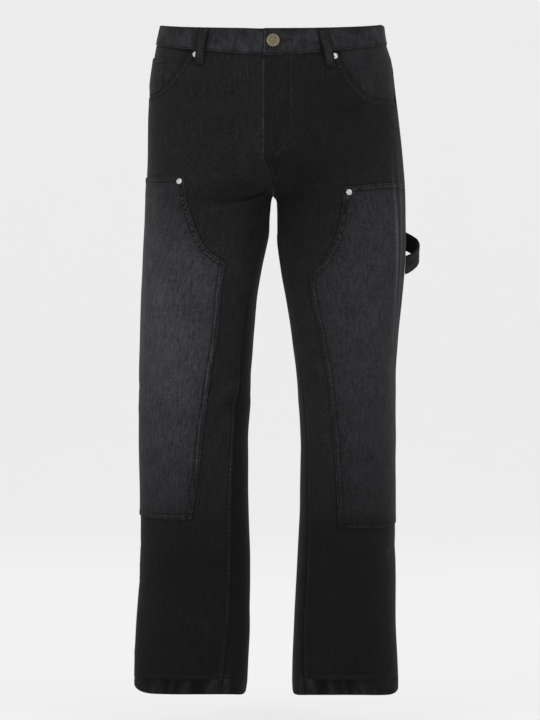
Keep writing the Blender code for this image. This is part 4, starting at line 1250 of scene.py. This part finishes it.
def denim(name, edge_wear, edge_reach, mottle=0.10):
    """Washed black twill. Its tone comes from the cloth's own attribute, and edges are worn lighter."""
    made, tree, shader = node_material(name)
    chart = attribute(tree, "chart", "Vector")
    tone, edge, sewn, inner = (attribute(tree, label) for label in ("tone", "edge", "sewn", "inner"))
    fine = grain(tree, chart, 0.42, rough=0.8)
    yarn = grain(tree, chart, 0.50, stretch=(1.0, 0.16, 1.0))
    streak = grain(tree, chart, 0.26, stretch=(1.0, 0.14, 1.0))
    cloud = grain(tree, chart, 0.035, 3.0)
    patchy = grain(tree, chart, 0.16)
    level = 1.0
    for spots, share in ((fine, 0.36), (streak, 0.20), (yarn, 0.16), (patchy, 0.14), (cloud, mottle)):
        level = math_node(tree, "MULTIPLY_ADD", ramp_node(tree, spots, 0.3, 0.7, -1.0, 1.0), share, level)
    tone = math_node(tree, "MULTIPLY", tone, level)
    rub = ramp_node(tree, edge, 0.0, edge_reach, 1.0, 0.0)
    rub = math_node(tree, "MULTIPLY", rub, ramp_node(tree, patchy, 0.35, 0.65, 0.25, 1.0))
    tone = math_node(tree, "MULTIPLY_ADD", rub, edge_wear, tone)
    # Painted shade: darker cloth in the stitch grooves, and on the inside faces.
    groove_shade = ramp_node(tree, sewn, 0.4, 2.1, 0.38, 1.0)
    for shade in (groove_shade, ramp_node(tree, inner, 0.3, 0.7, 1.0, 0.8)):
        tone = math_node(tree, "MULTIPLY", tone, shade)
    channels = {k: math_node(tree, "MULTIPLY", tone, share) for k, share in enumerate(TINT)}
    twill = add_node(
        tree, "TexWave", {"Vector": chart, "Scale": 0.42, "Distortion": 1.2, "Detail": 1.0},
        wave_type="BANDS", bands_direction="DIAGONAL",
    )
    height = math_node(tree, "MULTIPLY_ADD", fine, 0.9, math_node(tree, "MULTIPLY", twill.outputs["Fac"], 0.35))
    height = math_node(tree, "MULTIPLY_ADD", yarn, 0.5, height)
    height = math_node(tree, "ADD", height, ramp_node(tree, sewn, 0.0, 1.1, -1.2, 0.0))
    set_inputs(tree, shader, {
        "Base Color": add_node(tree, "CombineColor", channels).outputs["Color"],
        "Normal": bumped(tree, height, 0.55, 0.0004),
        "Roughness": 0.92,
        "Specular IOR Level": 0.12,
        "Sheen Weight": 0.03,
        "Sheen Roughness": 0.6,
    })
    return made


def metal(name, dark, light, rough, scale):
    made, tree, shader = node_material(name)
    spot = object_place(tree)
    spots = grain(tree, spot, scale, 3.0, 0.65)
    set_inputs(tree, shader, {
        "Base Color": mixed(tree, ramp_node(tree, spots, 0.35, 0.65), dark, light),
        "Roughness": ramp_node(tree, spots, 0.3, 0.7, rough + 0.12, rough - 0.05),
        "Normal": bumped(tree, grain(tree, spot, scale * 3), 0.12, 0.0001),
        "Metallic": 1.0,
    })
    return made


def thread_material(name, colour):
    made, tree, shader = node_material(name)
    worn = ramp_node(tree, grain(tree, object_place(tree), 160.0), 0.35, 0.65)
    dark, light = ([share * v for v in colour] for share in (0.55, 1.5))
    set_inputs(tree, shader, {
        "Base Color": mixed(tree, worn, dark, light),
        "Roughness": 0.7,
        "Specular IOR Level": 0.3,
    })
    return made


LOOKS = {
    "panel": denim("washed denim", 0.006, 1.4),
    "folded": denim("washed denim, folded edges", 0.030, 1.7),
    "patch": denim("faded patch denim", 0.045, 1.7, mottle=0.12),
    "band": denim("waistband denim", 0.030, 2.0, mottle=0.26),
    "thread": thread_material("tonal thread", (0.0085, 0.0085, 0.0095)),
    "brass": metal("aged brass", (0.07, 0.055, 0.035), (0.28, 0.235, 0.165), 0.42, 900.0),
    "steel": metal("worn steel", (0.24, 0.24, 0.235), (0.70, 0.70, 0.69), 0.36, 1200.0),
}


# The cloth


def fly_height(around, z):
    inside = (around - fly_line(z)) * ARC
    along = ramp((FLY_WIDE + FLY_FADE - inside) / FLY_FADE)
    return FLY_RISE * along * ramp((z - FLY_END + 24) / 24)


def hem_inner(around, z):
    return np.where(z < HEM_LINE - 0.75, -HEM_CLOTH, -CLOTH)


def facing_face(side):
    mouth = mouth_run(side, 2.0)
    line = np.array(mouth)

    def height(around, z):
        around, z = np.atleast_1d(around), np.atleast_1d(z)
        under = (around < line[0, 0]) | (z < np.interp(around, line[:, 0], line[:, 1]))
        far = chart_distances(zip(around, z), mouth)
        rise = (FACING_DROP - 0.2) * ramp((far - 5.0) / FACING_FADE)
        return -FACING_DROP + np.where(under, 0.0, rise)

    return height


def patch_tone(side, points, around, z):
    level = panel_tone(side, points, around, z) + TONE_AT["patch", side](z)
    return level - 8.0 * bell(from_patch(side, points), 18.0)


def facing_tone(side, points, around, z):
    """Painted shade beside the mouth and under the band, and on the left a painted shadow in the slit at the
    side seam.
    """
    far = chart_distances(zip(around, z), mouth_run(side, 2.0))
    level = 36.0 + 5.0 * noise(points, 22.0, 31) - 18.0 * bell(far, 6.0) - band_shade(side, around, z)
    slit = bell((0.5 - around) * ARC, 3.5) * ramp((-54 - z) / 16)
    return level - (20.0 if side == 1 else 0.0) * slit


def coin_tone(side, points, around, z):
    return 37.0 + 6.0 * noise(points, 18.0, 32)


PATCH_OUT = GAP + PATCH_CLOTH
SEWING = Sewing()


def plan_rows(side):
    """Every row of stitches on one half's panels, by the piece that it lies on."""
    name = SIDES[side]
    front, back, yoke = "front_" + name, "back_" + name, "yoke_" + name
    patch, pocket = "knee_patch_" + name, "back_pocket_" + name
    on_fold = PATCH_OUT + FOLDED_RISE * 0.8
    for away in ROWS:
        for run in patch_runs(side):
            SEWING.row(patch, side, run, side * away, on_fold)
        SEWING.row(front, side, mouth_run(side), -side * away, FOLDED_RISE * 0.6)
        SEWING.row(front, side, seam_run(0.0, FORK - 10, HEM_LINE + 3), side * away, 0.1)
        SEWING.row(yoke, side, level_run(yoke_seam, 0.503, 0.997), side * away, 0.1)
        for run in pocket_runs(side):
            SEWING.row(pocket, side, run, -side * away, on_fold)
    SEWING.row(front, side, level_run(lambda c: HEM_LINE, 0.004, 0.496), 0.0, 0.1)
    SEWING.row(back, side, level_run(lambda c: HEM_LINE, 0.504, 0.996), 0.0, 0.1)
    SEWING.row(front, side, seam_run(0.5, -122.0, -232.0), -side * 2.0, 0.1)
    if side == 1:
        for away in ROWS:
            SEWING.row(front, side, seam_run(0.0, FLY_END - 4, FORK + 4), side * away, fly_height)
            SEWING.row(back, side, seam_run(1.0, YOKE_BACK - 3, FORK + 3), -side * away, 0.1)
        for away in FLY_ROWS:
            SEWING.row(front, side, fly_run(away), 0.0, fly_height)
    else:
        height = facing_face(side)
        over = lambda c, z: height(c, z) + PATCH_OUT + FOLDED_RISE * 0.6
        for away in ROWS:
            SEWING.row("coin_pocket", side, path(side, COIN_TOP), -side * away, over)
        SEWING.row("coin_pocket", side, path(side, COIN_INNER), side * ROWS[0], over)


def rows_of(group, side):
    """The chart lines of a group's rows, and of sharp creases, at the spacing of fine vertices."""
    every = max(1, round(FINE / ROW_POINTS))
    lines = [line[::every] for row_side, line, _ in SEWING.rows.get(group, []) if row_side == side]
    if not group.startswith(("front_", "knee_patch_")):
        return lines
    for crease_side, around, z, run, spread, tilt, *_ in CREASES:
        if crease_side == side and spread < SHARP:
            turn = math.radians(tilt)
            a = np.arange(-1.5 * run, 1.5 * run, FINE)
            for across in (-spread, 0.0, spread):
                lines.append(np.stack([
                    around + (a * math.cos(turn) - across * math.sin(turn)) / ARC,
                    z + a * math.sin(turn) + across * math.cos(turn),
                ], -1))
    return lines


def plain_edge(side, around, z):
    """Where a front's edge isn't worn: at the waist seam and in the seams of the legs and of the fork."""
    in_seams = ((around < 0.01) & (z < FLY_END)) | ((around > 0.49) & (z > HEM_LINE))
    return in_seams | (z > waist_seam(side, around) - 4)


def panels(side):
    name = SIDES[side]
    front, back, yoke = "front_" + name, "back_" + name, "yoke_" + name
    patch, pocket, facing = "knee_patch_" + name, "back_pocket_" + name, "pocket_facing_" + name
    near_patch = [np.array(run) for run in patch_runs(side)[:3]]
    raised = 0.0
    if side == 1:
        near_patch.append(np.array(fly_run(FLY_PUCKER)))
        raised = fly_height
    shell(
        "cloth_" + front, side, front_outline(side), LOOKS["folded"], front, raised, hem_inner,
        rows_of(front, side) + near_patch, SEWING.near(front, back), front_tone,
        calm=lambda c, z: plain_edge(side, c, z),
    )
    shell(
        "cloth_" + patch, side, patch_outline(side), LOOKS["patch"], patch, PATCH_OUT, GAP,
        rows_of(patch, side), SEWING.near(patch), patch_tone, folded=True,
    )
    shell(
        "cloth_" + back, side, back_outline(side), LOOKS["panel"], back, 0.0, hem_inner,
        rows_of(back, side), SEWING.near(back, yoke), panel_tone,
    )
    shell(
        "cloth_" + pocket, side, join_runs(*pocket_runs(side)), LOOKS["folded"], pocket, PATCH_OUT, GAP,
        rows_of(pocket, side), SEWING.near(pocket), panel_tone, folded=True,
    )
    shell(
        "cloth_" + yoke, side, yoke_outline(side), LOOKS["panel"], yoke, 0.0, -CLOTH,
        rows_of(yoke, side), SEWING.near(yoke), panel_tone,
    )
    height = facing_face(side)
    shell(
        "cloth_" + facing, side, facing_outline(side), LOOKS["panel"], facing, height,
        lambda c, z: height(c, z) - FACING_CLOTH, (), None, facing_tone, coarse=4.5,
    )
    if side == -1:
        shell(
            "cloth_coin_pocket", side, coin_outline(side), LOOKS["folded"], "coin_pocket",
            lambda c, z: height(c, z) + PATCH_OUT, lambda c, z: height(c, z) + GAP,
            rows_of("coin_pocket", side), SEWING.near("coin_pocket"), coin_tone,
            folded=True, trim=2 * SEAM, coarse=4.5,
        )


def grid_faces(rows, columns):
    """Faces of a tube of rings, with flat ends."""
    rings = np.arange(rows * columns).reshape(rows, columns)
    faces = []
    for low, high in zip(rings, rings[1:]):
        faces += zip(low, high, np.roll(high, -1), np.roll(low, -1))
    return faces + [tuple(rings[0][::-1]), tuple(rings[-1])]


def facing_out(points, faces):
    """The faces, turned so that they look out of the closed body."""
    total = 0.0
    for face in faces:
        for k in range(1, len(face) - 1):
            total += np.dot(points[face[0]], np.cross(points[face[k]], points[face[k + 1]]))
    return faces if total > 0 else [tuple(reversed(face)) for face in faces]


# The waistband's section: shares of its height and of its thickness, from inside to outside
BAND_SHARES = (
    (0.0, 0.55), (0.012, 0.9), (0.05, 1.0), (0.14, 1.0), (0.26, 1.0), (0.4, 1.0), (0.55, 1.0), (0.7, 1.0),
    (0.84, 1.0), (0.95, 1.0), (0.988, 0.9), (1.0, 0.55), (1.0, 0.0), (0.988, -0.1), (0.7, -0.1), (0.35, -0.1),
    (0.012, -0.1), (0.0, 0.0),
)


def band_place(signed, share, height):
    """Points on the waistband: signed is round, below 0 on the right half."""
    made = np.zeros((len(signed), 3))
    for side in SIDES:
        mine = (signed < 0) == (side < 0)
        around = np.abs(signed[mine])
        low = waist_seam(side, around) + SEAM
        z = low + (waist_top(side, around) - low) * share[mine]
        base = place(side, around, z)
        made[mine] = base + outward(side, around, z) * height[mine][:, None]
    return made


def waistband():
    under_end, over_end = 0.055, -FLY_EDGE
    lapped = np.linspace(under_end, over_end, 16)
    right = np.linspace(over_end, -1, 210)[1:]
    left = np.linspace(1, over_end, 216)[1:]
    stops = np.concatenate([lapped, right, left])
    sink = np.concatenate([np.ones(len(lapped)), 1 - ramp((over_end - right) / BAND_LAP), np.zeros(len(left))])
    sink = sink * (BAND_OUT - BAND_IN + GAP)
    out = np.array([h for _, h in BAND_SHARES])
    count = len(out)
    share = np.tile([s for s, _ in BAND_SHARES], len(stops))
    signed = np.repeat(stops, count)
    level = np.where(out >= 0, out * BAND_OUT + (1 - out) * BAND_IN * 0.5, BAND_IN)
    height = np.tile(level, len(stops)) - np.repeat(sink, count)
    flat = band_place(signed, share, height)
    face = np.tile(out > 0.5, len(stops))
    rows = np.minimum(*(np.abs(share - row) for row in BAND_ROWS)) * BAND_TALL
    lift = 0.30 * noise(flat, 16.0, 41) + 0.35 * bell(rows, 5.0) * noise(flat, 7.5, 42)
    points = band_place(signed, share, height + np.where(face, lift, 0.0))
    edge = np.minimum(share, 1 - share) * BAND_TALL
    ends = np.minimum(np.abs(signed - over_end), 1.0) * ARC
    over = np.repeat(np.arange(len(stops)) > len(lapped) + 60, count)
    edge = np.where(over, np.minimum(edge, ends), edge)
    tall = flat * (1.0, 1.0, 0.45)
    # Raised puckers are lighter, as wear, and sunk ones darker, as painted shade.
    tone = 43.0 + 8.0 * noise(flat, 15.0, 43) + 9.0 * noise(tall, 5.5, 44) + 9.0 * lift
    # A painted shadow on the band beside each belt loop.
    for _, side, back, x_top, x_low, z_low in LOOPS:
        top = waist_top(side, 0.5)
        middle = x_top + (x_low - x_top) * (top - flat[:, 2]) / (top - z_low)
        far = np.maximum(np.abs(side * flat[:, 0] - middle) - LOOP_WIDE / 2, 0)
        tone = tone - np.where((flat[:, 1] > 0) == back, 14.0 * bell(far, 2.4), 0.0)
    tone = np.where(face, tone, 36.0) - 5.0 * bell(share, 0.06)
    faces = facing_out(points, grid_faces(len(stops), count))
    made = add_object("cloth_waistband", points * MM, faces, LOOKS["band"], {
        "tone": to_linear(tone),
        "edge": edge,
        "sewn": rows,
        "inner": np.where(np.tile(out > -0.05, len(stops)), 0.0, 1.0),
        "chart": np.stack([signed * ARC, share * BAND_TALL, np.zeros(len(signed))], -1),
    })
    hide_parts("waistband")


def under_lap(around, z):
    """Height of the right half's band, which sinks below the lapped end."""
    return BAND_OUT - (BAND_OUT - BAND_IN + GAP) * (1 - ramp((around - FLY_EDGE) / BAND_LAP))


def band_rows():
    """The waistband's two rows, over both halves."""
    for side, start, over in ((-1, 0.028, under_lap), (1, 0.001, BAND_OUT)):
        for share in BAND_ROWS:
            run = level_run(lambda c: band_level(side, c, share), start, 0.999)
            SEWING.row("waistband", side, run, 0.0, over)


# A strap's section: shares of its half width and of its thickness, with a fold along each edge
LOOP_CORNERS = (
    (-1.0, 0.1), (-0.5, 0.0), (0.0, 0.0), (0.5, 0.0), (1.0, 0.1), (1.04, 0.5), (0.97, 0.88), (0.8, 1.0),
    (0.55, 1.02), (0.28, 0.93), (0.0, 0.9), (-0.28, 0.93), (-0.55, 1.02), (-0.8, 1.0), (-0.97, 0.88),
    (-1.04, 0.5),
)


def strap(name, middles, aside, normal, wide, thick):
    """A sewn strap along its middles: a tube of sections with a raised fold at each edge, and its stitches."""
    sides = unit(aside)
    outs = np.cross(sides, unit(np.gradient(middles, axis=0)))
    outs *= np.sign((outs * normal).sum(1, keepdims=True))
    count, stops = len(LOOP_CORNERS), len(middles)
    across, up = np.array(LOOP_CORNERS).T
    points = np.repeat(middles, count, axis=0)
    points = points + np.tile(across * wide / 2, stops)[:, None] * np.repeat(sides, count, axis=0)
    points = points + np.tile((up - 0.5) * thick, stops)[:, None] * np.repeat(outs, count, axis=0)
    u = np.tile(across * wide / 2, stops)
    v = np.repeat(lengths(middles), count)
    points = points + np.repeat(outs, count, axis=0) * (0.22 * noise(points, 5.0, 51))[:, None]
    # Lighter on the ridges of the folded edges, as wear; darker on the sides and underside, and darker still at
    # the outermost sides, as painted shade.
    ridge = np.tile(np.clip((up - 0.9) / 0.12, -1, 1), stops)
    border = np.tile(np.abs(across) > 0.96, stops)
    tone = 36.0 + 9.0 * noise(points * (1.0, 1.0, 0.5), 5.0, 52) + 10.0 * ridge - 18.0 * border
    faces = facing_out(points, grid_faces(stops, count))
    made = add_object("cloth_" + name, points * MM, faces, LOOKS["band"], {
        "tone": to_linear(tone),
        "edge": np.full(len(u), 9.0),
        "sewn": np.abs(np.abs(u) - (wide / 2 - STRAP_ROW)),
        "inner": np.zeros(len(u)),
        "chart": np.stack([u, v, np.zeros(len(u))], -1),
    })
    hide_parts(name)
    strap_stitches(middles, sides, outs, wide, thick)


STRAP_STITCHES = []
BAR_IN = 3.0  # the bar across a strap lies this far in from its end


def strap_stitches(middles, sides, outs, wide, thick):
    """Two rows along a strap, and a bar of close stitches across each end."""
    along = lengths(middles)
    between = lambda at, line: np.stack([np.interp(at, along, line[:, k]) for k in range(3)], -1)
    for way in (-1, 1):
        line = middles + sides * way * (wide / 2 - STRAP_ROW) + outs * (thick / 2 + 0.05)
        at = np.arange(STITCH_PITCH / 2, along[-1], STITCH_PITCH * 0.9)
        centres = between(at, line)
        STRAP_STITCHES.append((centres, unit(np.gradient(centres, axis=0)), between(at, outs), STITCH_LONG))
    for at in (BAR_IN, along[-1] - BAR_IN):
        spot, aside, out = (between(at, line) for line in (middles, sides, outs))
        steps = np.arange(-wide / 2 + 1.6, wide / 2 - 1.5, 0.85)
        centres = spot + np.outer(steps, aside) + out * (thick / 2 + 0.25)
        STRAP_STITCHES.append((centres, np.tile(np.cross(aside, out), (len(steps), 1)),
                               np.tile(out, (len(steps), 1)), 2.4))


def belt_loops():
    stops = np.linspace(0, 1, 40)
    stand = curve([1 - s for s, _ in LOOP_STOPS], [h for _, h in LOOP_STOPS])(1 - stops)
    for name, side, back, x_top, x_low, z_low in LOOPS:
        around_top = round_at(side, x_top, 0.0, back) if x_top else 1.0
        around_low = round_at(side, x_low, z_low, back) if x_low else 1.0
        top = float(waist_top(side, around_top)) - 1.0
        around = around_top + (around_low - around_top) * stops
        z = top + (z_low - top) * stops
        on_band = ramp((z - waist_seam(side, around) + 5.0) / 6.0)
        base = BAND_OUT * on_band + GAP + LOOP_STAND * stand
        normal = outward(side, around, z)
        middles = place(side, around, z) + normal * (base + LOOP_CLOTH / 2)[:, None]
        aside = place(side, around + 0.01, z) - place(side, around - 0.01, z)
        strap(name, middles, aside, normal, LOOP_WIDE, LOOP_CLOTH)


def hammer_loop():
    known = np.array(HAMMER_PATH)
    far = np.concatenate([[0], np.cumsum(np.hypot(np.diff(known[:, 0]) * ARC, np.diff(known[:, 1])))])
    at = np.linspace(0, far[-1], 60)
    around, stand, z = (curve(far[::-1], known[::-1, k])(at) for k in range(3))
    low, high = (place(1, around, z + way * HAMMER_WIDE / 2) for way in (-1, 1))
    normal = outward(1, around, z)
    middles = place(1, around, z) + normal * (GAP + HAMMER_CLOTH / 2 + stand + 0.2)[:, None]
    strap("hammer_loop", middles, high - low, normal, HAMMER_WIDE, HAMMER_CLOTH)


# group, side, whether behind, x, z, turn in degrees, length, height over the cloth
BARS = (
    ("front_right", -1, False, 129, -47, 90, 8, 0.6),
    ("front_left", 1, False, 103, -48.5, 90, 8, 0.6),
    ("front_right", -1, False, 193, -103.5, 60, 8, 0.6),
    ("front_left", 1, False, 199, -115, 60, 8, 0.6),
    ("front_left", 1, False, 24, -190, 40, 9, 1.9),
    ("front_left", 1, False, 4, -206, 0, 8, 0.8),
    ("back_pocket_right", -1, True, 152, -97.5, 80, 8, 2.4),
    ("back_pocket_right", -1, True, 42, -117.5, 80, 8, 2.4),
    ("back_pocket_left", 1, True, 152, -97.5, 80, 8, 2.4),
    ("back_pocket_left", 1, True, 42, -117.5, 80, 8, 2.4),
)


def bar_stitches():
    """Short bars of close stitches where seams are held."""
    for _, side, back, x, z, turn, run, height in BARS:
        around = round_at(side, x, z, back)
        normal = outward(side, around, z)
        level = level_way(side, around, z)
        rise = np.cross(normal, level) * side
        along = level * math.cos(math.radians(turn)) + rise * math.sin(math.radians(turn))
        steps = np.arange(-run / 2, run / 2, 0.8)
        centres = place(side, around, z) + normal * height + np.outer(steps, along)
        cross, up = (np.tile(way, (len(steps), 1)) for way in (np.cross(normal, along), normal))
        STRAP_STITCHES.append((centres, cross, up, 2.3))


def buttonhole():
    """Two rows of close stitches on the lapped end of the band, one on each side of the buttonhole's line."""
    around = np.array([round_at(1, x, BUTTON["z"]) for x in np.arange(10.0, 32.0, 0.75)])
    for z in (BUTTON["z"] - 1.9, BUTTON["z"] + 1.9):
        normal = outward(1, around, z)
        rise = np.cross(normal, level_way(1, around, z))
        STRAP_STITCHES.append((place(1, around, z) + normal * (BAND_OUT + 0.35), rise, normal, 2.8))


# Metal

# Shares of the half width, and heights in millimetres
BUTTON_PROFILE = (
    (0.0, 0.2), (0.36, 0.2), (0.36, 0.7), (0.93, 0.8), (0.985, 1.0), (1.0, 1.4), (1.0, 2.1), (0.985, 2.5),
    (0.95, 2.85), (0.90, 3.05), (0.85, 3.08), (0.81, 2.95), (0.775, 2.65), (0.74, 2.5), (0.70, 2.52),
    (0.66, 2.62), (0.62, 2.64), (0.58, 2.56), (0.54, 2.54), (0.40, 2.60), (0.30, 2.70), (0.24, 2.74),
    (0.20, 2.66), (0.12, 2.64), (0.0, 2.66),
)
RIVET_PROFILE = (
    (0.0, 0.2), (0.88, 0.2), (0.96, 0.35), (1.0, 0.6), (1.0, 0.85), (0.96, 1.15), (0.88, 1.42), (0.76, 1.62),
    (0.62, 1.74), (0.52, 1.72), (0.46, 1.56), (0.40, 1.50), (0.34, 1.62), (0.26, 1.95), (0.16, 2.12),
    (0.0, 2.18),
)


def turned(name, node, slot, seat, normal, across, profile, look, sides=72):
    """A round piece on its seat, turned about the normal."""
    normal = Vector(normal).normalized()
    right = normal.orthogonal().normalized()
    up = normal.cross(right)
    points, rings = [], []
    for share, height in profile:
        centre = Vector(seat) + normal * height
        count = sides if share else 1
        rings.append(list(range(len(points), len(points) + count)))
        for k in range(count):
            angle = 2 * math.pi * k / sides
            points.append(centre + (right * math.cos(angle) + up * math.sin(angle)) * across / 2 * share)
    solid = np.array([tuple(p) for p in points])
    faces = facing_out(solid - solid.mean(0), join_rings(rings, sides))
    made = add_object(name, solid * MM, faces, look)
    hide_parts(node)


def hardware():
    z = BUTTON["z"]
    normal = outward(1, 0.0, z)
    seat = place(1, 0.0, z) + normal * (BAND_OUT + 0.2)
    turned(
        "metal_button", "button", "aged_brass", seat, normal, BUTTON["across"], BUTTON_PROFILE, LOOKS["brass"],
    )
    for kind, spots, height in (("pocket", POCKET_RIVETS, 0.3), ("patch", PATCH_RIVETS, PATCH_OUT + 0.4)):
        for side, name in SIDES.items():
            x, z = spots[side]
            around = round_at(side, x, z)
            normal = outward(side, around, z)
            node = f"rivet_{kind}_{name}"
            turned("metal_" + node, node, "rivet_steel", place(side, around, z) + normal * height, normal,
                   RIVET_ACROSS, RIVET_PROFILE, LOOKS["steel"])


# Studio


def sweep():
    """A pale floor that curves up into a wall."""
    near, far, radius, wide, tall = SWEEP.values()
    outline = [(near, FLOOR), (far - radius, FLOOR)]
    for k in range(1, 17):
        angle = math.pi / 2 * k / 16
        outline.append((far - radius + radius * math.sin(angle), FLOOR + radius - radius * math.cos(angle)))
    outline.append((far, tall))
    points = [(x, y, z) for y, z in outline for x in (-wide, wide)]
    faces = [(2 * i, 2 * i + 1, 2 * i + 3, 2 * i + 2) for i in range(len(outline) - 1)]
    mesh = bpy.data.meshes.new("studio_sweep")
    mesh.from_pydata(points, [], faces)
    mesh.shade_smooth()
    made, tree, shader = node_material("studio paper")
    set_inputs(tree, shader, {
        "Base Color": mixed(tree, grain(tree, object_place(tree), 6.0), *((grey,) * 3 for grey in PAPER)),
        "Roughness": 1.0,
        "Specular IOR Level": 0.0,
        "Emission Color": (1.0, 1.0, 1.0, 1.0),
        "Emission Strength": PAPER_GLOW,
    })
    mesh.materials.append(made)
    add_to_scene("studio_sweep", mesh)


def area_light(name, spot, aim, size, power):
    data = bpy.data.lights.new(name, "AREA")
    data.shape = "RECTANGLE"
    data.size, data.size_y = size
    data.energy = power
    made = add_to_scene(name, data)
    made.location = spot
    made.rotation_euler = (Vector(aim) - Vector(spot)).to_track_quat("-Z", "Y").to_euler()


def studio():
    world = bpy.data.worlds.new("studio")
    world.use_nodes = True
    set_inputs(world.node_tree, world.node_tree.nodes["Background"], {
        "Color": (1.0, 1.0, 1.0, 1.0),
        "Strength": WORLD_LIGHT,
    })
    bpy.context.scene.world = world
    sweep()
    for lamp in LAMPS:
        area_light(*lamp)
    view = bpy.context.scene.view_settings
    view.view_transform = "Standard"
    view.look = "None"
    view.exposure = 0.0
    view.gamma = 1.0


def camera():
    """The photograph's view: level, from the front."""
    data = bpy.data.cameras.new("camera")
    data.sensor_fit = "VERTICAL"
    data.sensor_height = FILM
    data.sensor_width = FILM
    data.lens = FILM * -EYE[1] / (PIXELS_TALL * PIXEL)
    data.clip_end = 30.0
    made = add_to_scene("camera", data)
    made.location = EYE
    made.rotation_euler = (math.pi / 2, 0, 0)
    bpy.context.scene.camera = made


camera()
studio()
for SIDE in SIDES:
    plan_rows(SIDE)
band_rows()
for SIDE in SIDES:
    panels(SIDE)
waistband()
belt_loops()
hammer_loop()
hardware()
for GROUP in SEWING.rows:
    sew(GROUP)
bar_stitches()
buttonhole()
add_stitches("thread_bars_and_straps", STRAP_STITCHES)
